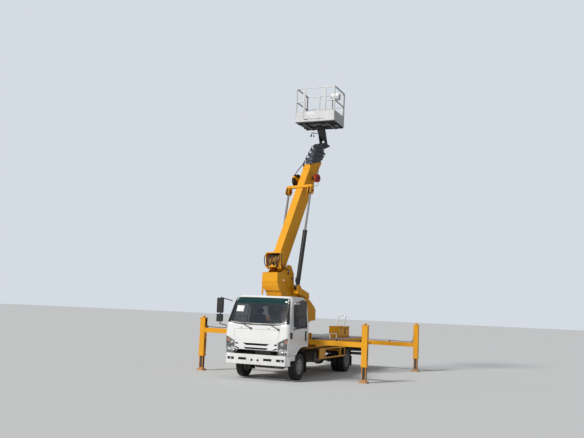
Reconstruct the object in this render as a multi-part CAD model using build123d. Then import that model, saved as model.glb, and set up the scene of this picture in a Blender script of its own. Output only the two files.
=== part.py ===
from build123d import *
import os
from math import atan2, cos, degrees, hypot, radians, sin

# Truck-mounted telescopic work platform, all sizes in millimetres and degrees.
# It is drawn from the front axle: X to the truck's left, Y rearwards, Z up from the ground.

# Truck
WHEELBASE = 4175
FRONT_OVERHANG = 1110
TAIL_Y = 6620
GAP = 6

# Tyres and wheels
TYRE_R = 391
TYRE_W = 226
TYRE_ROUND = 34
RIM_R = 222
RIM_WALL = 9
HUB_R = 88
FRONT_TYRE_X = 850
TWIN_OUTER_X = 947
TWIN_PITCH = 253
KINGPIN_X = 735
KINGPIN_R = 20
SPINDLE_R = 30
SPINDLE_END_X = 930
TYRE_FIT = 0.4

# Chassis rails
RAIL_OUT_X = 425
RAIL_FLANGE = 65
RAIL_H = 200
RAIL_TOP_Z = 820
RAIL_SHEET = 8
RAIL_FRONT_Y = -930
CROSS_Y = (-860, 1010, 2300, 3500, 4850, 5950)

# Cab outline, one row for each level
CAB_ROWS = (
    # z, front y, rear y, half width, corner radius
    (750, -1062, 575, 1005, 110),
    (1180, -1082, 575, 1020, 120),
    (1590, -1035, 575, 1012, 120),
    (2300, -730, 560, 935, 120),
    (2440, -590, 490, 840, 130),
)
CAB_WALL = 42
DOOR_WALL = 62
CAB_FLOOR_Z = 1010
FLOOR_SHEET = 30
CAB_FRONT_LOW_Z = 862
CAB_FRONT_LOW_X = 700
ARCH_R = 530
ARCH_Z = 430
DOOR_REAR_Y = 400
DOOR_TOP_Z = 2262
DOOR_FRONT_Y = -770
DOOR_LOW_Z = 850
DOOR_SILL_Z = 1040
BELT_Z = 1600
PILLAR_TOP_Y = -640
GLASS_IN = 12
GLASS = 6
SCREEN_LOW_Z = 1590
SCREEN_TOP_Z = 2275
SCREEN_LOW_X = 975
SCREEN_TOP_X = 870
WINDOW_EDGE = 60

# Outrigger beams: one row each, on the side that it reaches out to
BEAM_ROWS = (
    # name, side, y, beam z, foot x, beam length
    ("front_left", 1, 700, 1110, 2740, 1940),
    ("front_right", -1, 700, 1290, 2740, 1940),
    ("rear_left", 1, 6470, 960, 2950, 2150),
    ("rear_right", -1, 6285, 960, 2950, 2150),
)
BEAM = 150
BEAM_WALL = 9
BEAM_FIT = 7
HOUSING_WALL = 8
HOUSING_X = 1000
POST = 170
POST_WALL = 9
POST_LOW_Z = 460
POST_TOP_Z = 1680
LEG = 130
FOOT_H = 45
FOOT_PAD = 260
JACK_LIFT = 400
LEG_TOP_Z = POST_TOP_Z - JACK_LIFT - 15

# Deck
DECK_FRONT_Y = 960
DECK_REAR_Y = 6130
DECK_HALF = 1120
DECK_TOP_Z = 1170
DECK_SHEET = 30
DECK_LIP = 12
BEARER_Y = (2350, 2900, 3600, 4750, 5650)
SIDE_BEAM_H = 175

# Turret, drawn in the boom's own upright plane, which is turned from the truck's
SLEW_Y = 1700
SLEW_REST = 15
RING_R = 380
RING_Z = 1400
RING_H = 60
CHEEK_X = 300
CHEEK = 20
PLATE = 16
PIVOT_R = -780
PIVOT_Z = 3280
PIVOT_PIN_R = 45
PIN_PLAY = 1
BASE_PIN_R = -460
BASE_PIN_Z = 2768

# Boom: s runs along it from its pivot, u upwards from it when it lies flat
BOOM_REST = 65
BOOM_W = 280
BOOM_H = 460
BOOM_TOP = 440
BOOM_STEP = 36
BOOM_WALL = 6
BOOM_ROOT = -110
SECTION_START = 160
SECTIONS = (
    # end of the top, how much further the bottom reaches, collar's length, how far its lug hangs
    (3850, 420, 200, 75),
    (4130, 360, 130, 150),
    (4350, 290, 120, 205),
    (4550, 210, 110, 240),
    (4720, 140, 85, 0),
)
COLLAR = 26
FIRST_COLLAR = 8
CYL_X = 450
ROD_PIN_S = 2790
ROD_PIN_U = 373
BARREL_R = 72
BARREL_L = 1880
ROD_R = 36
EYE_R = 66
EYE_W = 76
BASE_EYE_W = 150
PIN_R = 27
FORK_PLAY = 8
FORK = 18
HOSE_REEL_R = 200
CABLE_REEL_R = 125

# Platform
LEVEL_S = 4960
LEVEL_U = 0
BASKET_R = -270
BASKET_Z = 692
BASKET_X = 1420
BASKET_Y = 1040
BASKET_H = 1200
TUBE = 40
KICK_H = 330
MID_RAIL_Z = 690
GATE_X = (-400, 340)


def block(x, y, z):
    """Box between two values on each axis."""
    size = (x[1] - x[0], y[1] - y[0], z[1] - z[0])
    middle = ((x[0] + x[1]) / 2, (y[0] + y[1]) / 2, (z[0] + z[1]) / 2)
    return Pos(*middle) * Box(*size)


def both(x, y, z):
    """The same box on the truck's left and right."""
    return [block(x, y, z), block((-x[1], -x[0]), y, z)]


def mirrored(shape):
    return mirror(shape, about=Plane.YZ)


def side(points, x0, x1):
    """Outline of y and z points, as thick as x0 to x1."""
    face = Plane.YZ * make_face(Polyline(*points, close=True))
    return Pos(x0, 0, 0) * extrude(face, x1 - x0)


def front(points, y0, y1):
    """Outline of x and z points, as thick as y0 to y1."""
    face = Plane.XZ * make_face(Polyline(*points, close=True))
    return Pos(0, y0, 0) * extrude(face, y0 - y1)


def bar(start, end, radius):
    """Round bar between two points."""
    line = Vector(*end) - Vector(*start)
    return extrude(Plane(origin=start, z_dir=line) * Circle(radius), line.length)


def joined(shapes):
    solid = shapes[0]
    for shape in shapes[1:]:
        solid = solid + shape
    return solid


def square_tube(x, y, z, wall, axis):
    """Square tube that is open at both ends along one axis."""
    grow = {"x": (0, wall, wall), "y": (wall, 0, wall), "z": (wall, wall, 0)}[axis]
    inner = [(a + g, b - g) for (a, b), g in zip((x, y, z), grow)]
    return block(x, y, z) - block(*inner)


os.makedirs("parts", exist_ok=True)
TO_ORIGIN = Pos(0, -(TAIL_Y - FRONT_OVERHANG) / 2, 0)
TURRET = Pos(0, SLEW_Y, 0) * Rot(0, 0, -SLEW_REST)
BOOM = TURRET * Pos(0, PIVOT_R, PIVOT_Z) * Rot(BOOM_REST, 0, 0)


def save(name, *shapes):
    """Write one node, shifted so that the truck's middle is over the origin."""
    solids = []
    for shape in shapes:
        solids += (TO_ORIGIN * shape).solids()
    whole = solids[0] if len(solids) == 1 else Compound(children=solids)
    whole.label = name
    export_step(whole, f"parts/{name}.step")


def place(name, point):
    """Print where a joint, face or pin is once the truck is shifted."""
    x, y, z = (TO_ORIGIN * Pos(*point)).position
    print(f"place {name} {x:.2f} {y:.2f} {z:.2f}")


# Chassis: two pressed channels joined by cross members

def rail():
    rail_z = (RAIL_TOP_Z - RAIL_H, RAIL_TOP_Z)
    web = block((RAIL_OUT_X - RAIL_SHEET, RAIL_OUT_X), (RAIL_FRONT_Y, TAIL_Y - 60), rail_z)
    x = (RAIL_OUT_X - RAIL_FLANGE, RAIL_OUT_X)
    y = (RAIL_FRONT_Y, TAIL_Y - 60)
    top = block(x, y, (RAIL_TOP_Z - RAIL_SHEET, RAIL_TOP_Z))
    low = block(x, y, (RAIL_TOP_Z - RAIL_H, RAIL_TOP_Z - RAIL_H + RAIL_SHEET))
    return web + top + low


def cross_member(y):
    x = RAIL_OUT_X - RAIL_SHEET
    return block((-x, x), (y - 35, y + 35), (RAIL_TOP_Z - RAIL_H + 30, RAIL_TOP_Z - 60))


frame = [rail(), mirrored(rail())] + [cross_member(y) for y in CROSS_Y]
for y in (-800, 470):
    frame += both((350, 420), (y - 40, y + 40), (RAIL_TOP_Z, CAB_FLOOR_Z - FLOOR_SHEET))
frame.append(block((-940, 940), (TAIL_Y - 60, TAIL_Y), (460, 560)))
frame.append(block((-940, 940), (TAIL_Y - 60, TAIL_Y - 40), (600, 760)))
frame += both((365, 417), (TAIL_Y - 80, TAIL_Y - 20), (460, 815))
save("chassis_frame", joined(frame))


# Wheels: the rim is a dished disc in a channel, the tyre sits round it

def tyre(x):
    outline = Pos(RIM_R + (TYRE_R - RIM_R) / 2, 0) * RectangleRounded(TYRE_R - RIM_R, TYRE_W, TYRE_ROUND)
    flat = Pos(RIM_R + 30, 0) * Rectangle(60, TYRE_W - 2 * TYRE_ROUND)
    ring = revolve(Plane.XY * (outline + flat), Axis.Y)
    return Pos(x, 0, TYRE_R) * Rot(0, 0, 90) * ring


def rim(x, dish):
    """Rim whose disc stands off its middle by dish, towards the truck's left."""
    half = TYRE_W / 2 - 12
    out = RIM_R - TYRE_FIT
    barrel = Cylinder(out, 2 * half) - Cylinder(out - RIM_WALL, 2 * half)
    disc = Pos(0, 0, dish) * (Cylinder(out - RIM_WALL / 2, 12) - Cylinder(HUB_R - 20, 12))
    for turn in range(0, 360, 60):
        disc -= Rot(0, 0, turn + 30) * Pos(155, 0, dish) * Cylinder(24, 14)
    return Pos(x, 0, TYRE_R) * Rot(0, 90, 0) * (barrel + disc)


def hub(x0, x1, radius):
    return bar((x0, 0, TYRE_R), (x1, 0, TYRE_R), radius)


for name, turn in (("left", 1), ("right", -1)):
    flip = (lambda shape: shape) if turn == 1 else mirrored
    save(f"tyre_front_{name}", flip(tyre(FRONT_TYRE_X)))
    front_rim = rim(FRONT_TYRE_X, 38) + hub(FRONT_TYRE_X - 30, FRONT_TYRE_X + 105, HUB_R - 18)
    front_rim += hub(FRONT_TYRE_X - 30, FRONT_TYRE_X + 50, HUB_R)
    front_rim -= hub(FRONT_TYRE_X - 31, SPINDLE_END_X + 6, SPINDLE_R + 1)
    save(f"rim_front_{name}", flip(front_rim))
    twin_in = TWIN_OUTER_X - TWIN_PITCH
    tyres = [Pos(0, WHEELBASE, 0) * tyre(x) for x in (twin_in, TWIN_OUTER_X)]
    save(f"tyres_rear_{name}", *[flip(each) for each in tyres])
    twin = rim(twin_in, 105) + rim(TWIN_OUTER_X, -105) + hub(twin_in - 60, TWIN_OUTER_X - 50, HUB_R)
    twin += hub(twin_in + 30, TWIN_OUTER_X + 20, HUB_R - 14)
    twin += block((twin_in + 105, TWIN_OUTER_X - 105), (-HUB_R, HUB_R), (TYRE_R - HUB_R, TYRE_R + HUB_R))
    save(f"rims_rear_{name}", flip(Pos(0, WHEELBASE, 0) * twin))


# Front axle: forged beam, dropped in the middle, with leaf springs
beam_points = [
    (-KINGPIN_X + 40, 430), (-560, 430), (-470, 372), (470, 372), (560, 430), (KINGPIN_X - 40, 430),
    (KINGPIN_X - 40, 350), (520, 350), (430, 292), (-430, 292), (-520, 350), (-KINGPIN_X + 40, 350),
]
front_axle = [front(beam_points, -38, 38)]
for x in (-KINGPIN_X, KINGPIN_X):
    front_axle.append(bar((x, 0, 345), (x, 0, 435), 48))
    front_axle.append(bar((x, 0, 303), (x, 0, 477), KINGPIN_R))


def knuckle():
    """Fork round the beam's end, with the stub axle and the steering arm."""
    top = bar((KINGPIN_X, 0, 443), (KINGPIN_X, 0, 478), 44)
    low = bar((KINGPIN_X, 0, 302), (KINGPIN_X, 0, 337), 44)
    back = block((KINGPIN_X + 53, KINGPIN_X + 80), (-44, 44), (302, 478))
    web = block((KINGPIN_X, KINGPIN_X + 60), (-44, 44), (443, 478))
    web += block((KINGPIN_X, KINGPIN_X + 60), (-44, 44), (302, 337))
    arm = block((KINGPIN_X - 30, KINGPIN_X + 20), (0, 150), (306, 330))
    spindle = bar((KINGPIN_X + 78, 0, TYRE_R), (SPINDLE_END_X, 0, TYRE_R), SPINDLE_R)
    bore = bar((KINGPIN_X, 0, 290), (KINGPIN_X, 0, 490), KINGPIN_R + 1)
    return top + low + back + web + arm + spindle - bore


save("knuckle_left", knuckle())
save("knuckle_right", mirrored(knuckle()))


def leaf_spring(x, y, z, half, leaves):
    """Stack of leaves, each shorter than the one above it, with an eye at each end."""
    stack = [block((x - 35, x + 35), (y - half, y + half), (z, z + 14))]
    for n in range(1, leaves):
        reach = half * (1 - 0.8 * n / leaves)
        stack.append(block((x - 35, x + 35), (y - reach, y + reach), (z - 14 * n, z - 14 * n + 14)))
    for end in (y - half, y + half):
        stack.append(bar((x - 40, end, z + 14), (x + 40, end, z + 14), 26))
        stack.append(block((x - 12, x + 12), (end - 22, end + 22), (z + 14, RAIL_TOP_Z - RAIL_H)))
    return joined(stack)


SPRING_X = 391
front_axle += [leaf_spring(s * SPRING_X, 0, 448, 560, 5) for s in (1, -1)]
front_axle += both((SPRING_X - 45, SPRING_X + 45), (-50, 50), (360, 400))
save("front_axle", joined(front_axle))

axle_tube = bar((-628, WHEELBASE, TYRE_R), (628, WHEELBASE, TYRE_R), 66)
axle_seats = both((SPRING_X - 45, SPRING_X + 45), (WHEELBASE - 50, WHEELBASE + 50), (TYRE_R, 474))
cover = Rot(90, 0, 0) * Cylinder(190, 150)
snout = Pos(0, -110, 0) * Rot(90, 0, 0) * Cone(70, 150, 120)
casing = Pos(0, WHEELBASE, TYRE_R) * (cover + snout)
springs = [leaf_spring(s * SPRING_X, WHEELBASE, 530, 640, 5) for s in (1, -1)]
save("rear_axle", joined([axle_tube, casing] + axle_seats + springs))

# Engine and gearbox stay closed blocks, the shaft behind them turns unseen
engine = block((-300, 300), (-480, 430), (480, 960))
gearbox = Pos(0, 700, 600) * Rot(90, 0, 0) * Cone(110, 190, 500)
shaft = bar((0, 960, 600), (0, WHEELBASE - 235, 420), 42)
save("driveline", engine, gearbox, shaft)


# Cab

def cab_form(inset):
    """The cab's outer form, drawn in by a wall's thickness."""
    faces = []
    for z, y0, y1, half, corner in CAB_ROWS:
        top = inset if z == CAB_ROWS[-1][0] else 0
        outline = RectangleRounded(2 * (half - inset), y1 - y0 - 2 * inset, max(corner - inset, 12))
        faces.append(Pos(0, (y0 + y1) / 2, z - top) * outline)
    return loft(faces, ruled=True)


cab_outer = cab_form(0)
cab_inner = cab_form(CAB_WALL)
arch = Pos(0, 0, ARCH_Z) * Rot(0, 90, 0) * Cylinder(ARCH_R, 2400)
behind_arch = block((-1200, 1200), (0, 700), (600, CAB_FLOOR_Z - FLOOR_SHEET))
front_gap = block((-CAB_FRONT_LOW_X, CAB_FRONT_LOW_X), (-1200, -600), (600, CAB_FRONT_LOW_Z))


def door_outline(grow):
    low = [(DOOR_FRONT_Y, DOOR_LOW_Z), (-500, DOOR_LOW_Z), (-330, DOOR_SILL_Z)]
    back = [(DOOR_REAR_Y, DOOR_SILL_Z), (DOOR_REAR_Y, DOOR_TOP_Z)]
    face = make_face(Polyline(*low, *back, (PILLAR_TOP_Y, DOOR_TOP_Z), (DOOR_FRONT_Y, BELT_Z), close=True))
    return Plane.YZ * offset(face, grow) if grow else Plane.YZ * face


def window_outline(grow):
    edge = WINDOW_EDGE
    points = [
        (DOOR_FRONT_Y + edge, BELT_Z - 20), (DOOR_FRONT_Y + 330, BELT_Z - 60),
        (DOOR_REAR_Y - edge, BELT_Z - 60), (DOOR_REAR_Y - edge, DOOR_TOP_Z - edge),
        (PILLAR_TOP_Y + edge, DOOR_TOP_Z - edge),
    ]
    face = make_face(Polyline(*points, close=True))
    return Plane.YZ * offset(face, grow) if grow else Plane.YZ * face


door_hole = Pos(700, 0, 0) * extrude(door_outline(0), 500)
door_prism = Pos(700, 0, 0) * extrude(door_outline(-GAP), 500)
window_prism = Pos(700, 0, 0) * extrude(window_outline(0), 500)

screen_points = [
    (-SCREEN_LOW_X, SCREEN_LOW_Z + 45), (-500, SCREEN_LOW_Z),
    (500, SCREEN_LOW_Z), (SCREEN_LOW_X, SCREEN_LOW_Z + 45),
    (SCREEN_TOP_X, SCREEN_TOP_Z), (-SCREEN_TOP_X, SCREEN_TOP_Z),
]
screen_prism = front(screen_points, -1200, -450)
rear_prism = block((-620, 620), (400, 700), (1680, 2150))
LAMP_POINTS = [(690, 755), (965, 755), (985, 1240), (900, 1215), (690, 1105)]
lamp_prism = front(LAMP_POINTS, -1200, -800)

floor = cab_form(CAB_WALL - 2) & block((-1100, 1100), (-960, 800), (CAB_FLOOR_Z - FLOOR_SHEET, CAB_FLOOR_Z))
engine_bulge = block((-330, 330), (-560, 300), (CAB_FLOOR_Z, CAB_FLOOR_Z + 150))
cab = cab_outer - cab_inner + floor + engine_bulge
for cut in (arch, behind_arch, front_gap, screen_prism, rear_prism):
    cab -= cut
for cut in (door_hole, lamp_prism):
    cab = cab - cut - mirrored(cut)
SLOTS = (
    # corner points x and z of one slot, on the left of the middle
    ((0, 1056), (430, 1056), (330, 994), (0, 994)),
    ((0, 935), (392, 935), (330, 882), (0, 882)),
    ((565, 1044), (665, 1066), (665, 1022), (592, 1000)),
    ((525, 902), (668, 946), (668, 902), (545, 878)),
)
for points in SLOTS:
    slot = front(points, -1200, -980)
    cab = cab - slot - mirrored(slot)
save("cab_shell", cab)

pane = cab_form(GLASS_IN) - cab_form(GLASS_IN + GLASS)
save("cab_glass", pane & screen_prism, pane & rear_prism)
skin = cab_form(-5) - cab_form(CAB_WALL - 6)
lamp = skin & lamp_prism
lamps = [lamp, mirrored(lamp)]

slats = [block((-680, 680), (-1000, -990), (868, 1064))]
for z in range(880, 1060, 34):
    slats.append(block((-680, 680), (-1012, -988), (z, z + 12)))
save("grille", joined(slats))

# The door's rear edge is round about its hinge, and its edge over the wheel is set back, to clear the jamb
HINGE = (1024, DOOR_FRONT_Y + 14, 1300)
DOOR_RELIEF = [
    (-530, DOOR_LOW_Z - 10), (-334, DOOR_SILL_Z + 10), (-300, DOOR_SILL_Z + 6), (-300, DOOR_LOW_Z - 10),
]
door_swing = Pos(*HINGE) * Cylinder(DOOR_REAR_Y - GAP - HINGE[1] - GAP, 3000)
door_shell = cab_outer - cab_form(DOOR_WALL)
door = (door_shell & door_prism) - window_prism
door &= door_swing
door -= side(DOOR_RELIEF, 900, 1100)
door -= block((950, 1100), (190, 320), (1165, 1420)) - cab_form(24)
grip = block((990, 1030), (225, 285), (1155, 1430)) & (cab_form(4) - cab_form(12))
door += grip
glass = pane & window_prism


def mirror_set():
    """Two mirror heads on a bent tube that is held on the door's front edge."""
    tube_x = 1330
    y = -830
    arms = [
        bar((985, -700, 1480), (tube_x, y, 1560), 13), bar((905, -560, 2215), (tube_x, y, 2340), 13),
        bar((tube_x, y, 1548), (tube_x, y, 2352), 13), Pos(tube_x, y, 1560) * Sphere(13),
    ]
    heads = [(1240, 1435, 1880, 2330), (1245, 1430, 1620, 1850)]
    for x0, x1, z0, z1 in heads:
        head = block((x0, x1), (y - 62, y + 18), (z0, z1))
        arms.append(fillet(head.edges().filter_by(Axis.Y), 28))
    return joined(arms)


for name, flip in (("left", lambda shape: shape), ("right", mirrored)):
    save(f"door_{name}", flip(door + mirror_set()))
    save(f"door_glass_{name}", flip(glass))

# Cab inside: seats, dashboard and wheel, seen through the glass
seats = []
for x0, x1 in ((300, 800), (-200, 200), (-800, -300)):
    x0, x1 = x0 + 8, x1 - 8
    base = block((x0, x1), (-280, 180), (CAB_FLOOR_Z + 156, CAB_FLOOR_Z + 330))
    back = side([(120, 1340), (220, 1340), (330, 1900), (250, 1900)], x0, x1)
    middle = (x0 + x1) / 2
    head = side([(262, 1900), (322, 1900), (350, 2060), (290, 2060)], middle - 120, middle + 120)
    stand = block((x0 + 60, x1 - 60), (-200, 140), (CAB_FLOOR_Z, CAB_FLOOR_Z + 156))
    if x0 < 0 < x1:
        stand = block((x0 + 60, x1 - 60), (-200, 140), (CAB_FLOOR_Z + 150, CAB_FLOOR_Z + 156))
    seats.append(base + back + head + stand)
save("seats", *seats)

dash_points = [(-985, 1300), (-975, 1560), (-800, 1590), (-660, 1500), (-640, 1330), (-760, 1290)]
dash = side(dash_points, -900, 900) & cab_form(CAB_WALL + 1)
wheel_tilt = Pos(545, -470, 1545) * Rot(-38, 0, 0)
spokes = Box(400, 36, 16) + Pos(0, -100, 0) * Box(36, 200, 16)
steering = wheel_tilt * (Torus(205, 15) + Cylinder(45, 50) + spokes)
steering += bar((545, -470, 1545), (545, -690, 1365), 26)
save("dashboard", dash + steering)

# Bumper: a folded shell, open behind, with four openings
bumper_plan = make_face(Polyline(
    (-1020, -540), (-1020, -930), (-930, -1065), (-700, -1100), (-400, -FRONT_OVERHANG),
    (400, -FRONT_OVERHANG),
    (700, -1100), (930, -1065), (1020, -930), (1020, -540), close=True))
BUMPER_LOW_Z = 455
BUMPER_TOP_Z = 742
BUMPER_SIDE_Y = -880
BUMPER_SIDE_Z = 600
bumper = Pos(0, 0, BUMPER_LOW_Z) * extrude(bumper_plan, BUMPER_TOP_Z - BUMPER_LOW_Z)
inner_plan = offset(bumper_plan, -24) + Pos(0, -700) * Rectangle(2 * (1020 - 24), 400)
inner_form = Pos(0, 0, BUMPER_LOW_Z - 1) * extrude(inner_plan, BUMPER_TOP_Z - BUMPER_LOW_Z + 2)
bumper = bumper - inner_form
bumper -= block((-1100, 1100), (-ARCH_R - 10, 0), (400, 800))
bumper -= block((-1100, 1100), (BUMPER_SIDE_Y, 0), (400, BUMPER_SIDE_Z))
bumper -= Pos(0, 0, ARCH_Z) * Rot(0, 90, 0) * Cylinder(ARCH_R, 2400)
for x0, x1, z0, z1 in ((270, 530, 570, 640), (670, 900, 565, 640)):
    for each in both((x0, x1), (-1200, -980), (z0, z1)):
        bumper -= each
for x in (-95, 95):
    bumper -= bar((x, -1200, 580), (x, -1000, 580), 34)
brackets = [block(x, (-1092, -900), (660, 720)) for x in ((350, 417), (-417, -350))]
save("front_bumper", joined([bumper] + brackets))

steps = []
for x in ((700, 990), (-990, -700)):
    step = block(x, (-930, -570), (455, 485)) + block(x, (-930, -570), (640, 670))
    for y in (-930, -585):
        step += block(x, (y, y + 15), (455, 750))
    steps.append(step)

# Mudguards: half rings over the wheels, hung on short brackets
GUARD_X = (DECK_HALF - 60, DECK_HALF - 30)


def mudguard(y, radius, x0, x1, low, deep):
    ring = Cylinder(radius + 10, x1 - x0) - Cylinder(radius, x1 - x0)
    ring = Pos((x0 + x1) / 2, y, TYRE_R) * Rot(0, 90, 0) * ring
    ring &= block((x0, x1), (y - 900, y + 900), (low, 1400))
    return ring + block((deep, x0 + 2), (y - 30, y + 30), (TYRE_R + radius, TYRE_R + radius + 10))


front_guard = mudguard(0, 492, 700, 985, TYRE_R + 150, 600)
front_guard += block((600, 625), (-30, 30), (TYRE_R + 492, CAB_FLOOR_Z - FLOOR_SHEET))
rear_guard = mudguard(WHEELBASE, 452, 560, GUARD_X[0] - 5, TYRE_R + 60, 425)
guards = [front_guard, mirrored(front_guard), rear_guard, mirrored(rear_guard)]
save("steps_and_mudguards", *steps, *guards)

# Subframe: long sills on the rails, with the outriggers' housings across them
SUB_TOP_Z = 1030
sills = [block(x, (560, TAIL_Y - 60), (RAIL_TOP_Z, SUB_TOP_Z - 150)) for x in ((340, 425), (-425, -340))]
housings = []
for name, turn, y, z, foot_x, length in BEAM_ROWS:
    half = BEAM / 2 + BEAM_FIT + HOUSING_WALL
    tube = square_tube((-HOUSING_X, HOUSING_X), (y - half, y + half), (z - half, z + half), HOUSING_WALL, "x")
    housings.append(tube)
half = BEAM / 2 + BEAM_FIT + HOUSING_WALL
front_y, low_z = BEAM_ROWS[0][2], BEAM_ROWS[0][3]
stand = both((335, 425), (front_y - half, front_y + half), (SUB_TOP_Z - 150, low_z - half + 1))
pedestal = Pos(0, SLEW_Y, (SUB_TOP_Z - 150 + RING_Z) / 2) * Cylinder(RING_R - 20, RING_Z - SUB_TOP_Z + 150)
collar = Pos(0, SLEW_Y, RING_Z - 25) * Cylinder(RING_R + 40, 50)
ring = Pos(0, SLEW_Y, RING_Z + RING_H / 2) * Cylinder(RING_R, RING_H)
ties = both((280, 320), (front_y + half - 1, SLEW_Y), (SUB_TOP_Z - 150, 1120))
plate = block((-425, 425), (front_y + half, SLEW_Y + 480), (SUB_TOP_Z - 160, SUB_TOP_Z - 130))
bearer_top = DECK_TOP_Z - DECK_SHEET
bearer_low = bearer_top - 90
deck_y = (DECK_FRONT_Y, DECK_REAR_Y)
bearers = both((DECK_HALF - 60, DECK_HALF), deck_y, (bearer_top - SIDE_BEAM_H, bearer_top))
for y in BEARER_Y:
    bearers.append(block((-DECK_HALF + 30, DECK_HALF - 30), (y - 35, y + 35), (bearer_low, bearer_top)))
    bearers += both((340, 425), (y - 35, y + 35), (SUB_TOP_Z - 150, bearer_low + 1))
for y in (DECK_FRONT_Y + 35, SLEW_Y):
    bearers += both((RING_R - 60, DECK_HALF - 30), (y - 35, y + 35), (bearer_low, bearer_top))
bearers += both((250, 425), (DECK_FRONT_Y, DECK_FRONT_Y + 70), (SUB_TOP_Z - 150, bearer_low + 1))
save("outrigger_frame", joined(sills + housings + stand + [pedestal, collar, ring, plate] + ties + bearers))

# Outriggers: each beam carries its post, and each post its leg
for name, turn, y, z, foot_x, length in BEAM_ROWS:
    b, p = BEAM / 2, POST / 2
    beam = square_tube((foot_x - p - length, foot_x - p + 2), (y - b, y + b), (z - b, z + b), BEAM_WALL, "x")
    post = square_tube((foot_x - p, foot_x + p), (y - p, y + p), (POST_LOW_Z, POST_TOP_Z), POST_WALL, "z")
    cap = block((foot_x - p - 6, foot_x + p + 6), (y - p - 6, y + p + 6), (POST_TOP_Z, POST_TOP_Z + 12))
    beacon = Pos(foot_x, y, POST_TOP_Z + 40) * Cylinder(38, 58)
    arm = beam + post + cap + beacon
    l = LEG / 2
    leg = square_tube((foot_x - l, foot_x + l), (y - l, y + l), (FOOT_H, LEG_TOP_Z), 10, "z")
    w = FOOT_PAD / 2
    pad = block((foot_x - w, foot_x + w), (y - w, y + w), (0, FOOT_H))
    pad = fillet(pad.edges().filter_by(Axis.Z), 40)
    knob = Pos(foot_x, y, FOOT_H + 35) * Cylinder(l - 14, 70)
    jack = leg + pad + knob
    if turn < 0:
        arm, jack = mirrored(arm), mirrored(jack)
    save(f"beam_{name}", arm)
    save(f"jack_{name}", jack)
    place(f"foot_{name}", (turn * foot_x, y, 0))

# Deck and what is on it
deck = block((-DECK_HALF, DECK_HALF), deck_y, (DECK_TOP_Z - DECK_SHEET, DECK_TOP_Z))
for each in both((DECK_HALF - 12, DECK_HALF), deck_y, (DECK_TOP_Z - 1, DECK_TOP_Z + DECK_LIP)):
    deck += each
deck -= Pos(0, SLEW_Y, DECK_TOP_Z - 20) * Cylinder(RING_R + 70, 140)
deck -= block((-RING_R - 70, RING_R + 70), (DECK_FRONT_Y - 1, SLEW_Y), (DECK_TOP_Z - 90, DECK_TOP_Z + 40))
save("deck", deck)

LOCKER_X = (DECK_HALF - 520, DECK_HALF - 160)
LOCKER_Y = (3500, 4620)
LOCKER_TOP_Z = DECK_TOP_Z + 370
locker = block(LOCKER_X, LOCKER_Y, (DECK_TOP_Z, LOCKER_TOP_Z))
locker = fillet(locker.edges().filter_by(Axis.Y), 20)
lid_x = (LOCKER_X[0] - 10, LOCKER_X[1] + 10)
lid_y = (LOCKER_Y[0] - 10, LOCKER_Y[1] + 10)
lid = block(lid_x, lid_y, (LOCKER_TOP_Z - 2, LOCKER_TOP_Z + 14))
latches = []
for y in (LOCKER_Y[0] + 250, LOCKER_Y[1] - 250):
    latch_x = (LOCKER_X[1] - 2, LOCKER_X[1] + 12)
    latches.append(block(latch_x, (y - 30, y + 30), (LOCKER_TOP_Z - 90, LOCKER_TOP_Z)))
save("deck_locker", joined([locker, lid] + latches))

# Hooped top of the boarding ladder, stowed on the locker: rails, rounded top and two rungs
LADDER_W = 260
LADDER_H = 370
LADDER_Y = (LOCKER_Y[0] + LOCKER_Y[1]) / 2
LADDER_R = 15
ladder_x = LOCKER_X[0] + 100
ladder_z = LOCKER_TOP_Z + 14
LEAN = 60
BEND = 55
route = Polyline((0, 0, 0), (LEAN, 0, LADDER_H), (LEAN + LADDER_W, 0, LADDER_H), (LADDER_W, 0, 0))
route = fillet(route.vertices().sort_by(Axis.Z)[-2:], BEND)
hoop = sweep(Plane(origin=route @ 0, z_dir=route % 0) * Circle(LADDER_R), path=route)
hoop -= block((-50, LADDER_W + 50), (-50, 50), (-50, 0))
ladder = [hoop]
for share in (0.08, 0.55):
    x, z = LEAN * share, LADDER_H * share
    ladder.append(bar((x, 0, z), (x + LADDER_W, 0, z), 11))
for x in (0, LADDER_W):
    ladder.append(bar((x, 0, 0), (x, 0, 16), 28))
save("deck_ladder", Pos(ladder_x, LADDER_Y, ladder_z) * joined(ladder))

# Low white rail on the deck's left edge
RAIL_R = 14
RAIL_Y = (1680, 2900)
RAIL_UP = 165
rail_x = DECK_HALF - 34
rail_z = DECK_TOP_Z + RAIL_UP
deck_rail = [bar((rail_x, RAIL_Y[0], rail_z), (rail_x, RAIL_Y[1], rail_z), RAIL_R)]
for y in (RAIL_Y[0] + 20, 2240, RAIL_Y[1] - 20):
    deck_rail.append(bar((rail_x, y, DECK_TOP_Z), (rail_x, y, rail_z), RAIL_R - 2))
    deck_rail.append(bar((rail_x, y, DECK_TOP_Z), (rail_x, y, DECK_TOP_Z + 8), RAIL_R + 7))
save("deck_rail", joined(deck_rail))

tank = fillet(block((500, 985), (1120, 1800), (470, 830)).edges().filter_by(Axis.Y), 70)
battery = block((-960, -500), (1120, 1700), (520, 860))
for y in (1250, 1550):
    tank += block((RAIL_OUT_X, 505), (y, y + 60), (640, 800))
    battery += block((-505, -RAIL_OUT_X), (y, y + 60), (640, 800))
save("side_tanks", tank, battery)

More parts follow.
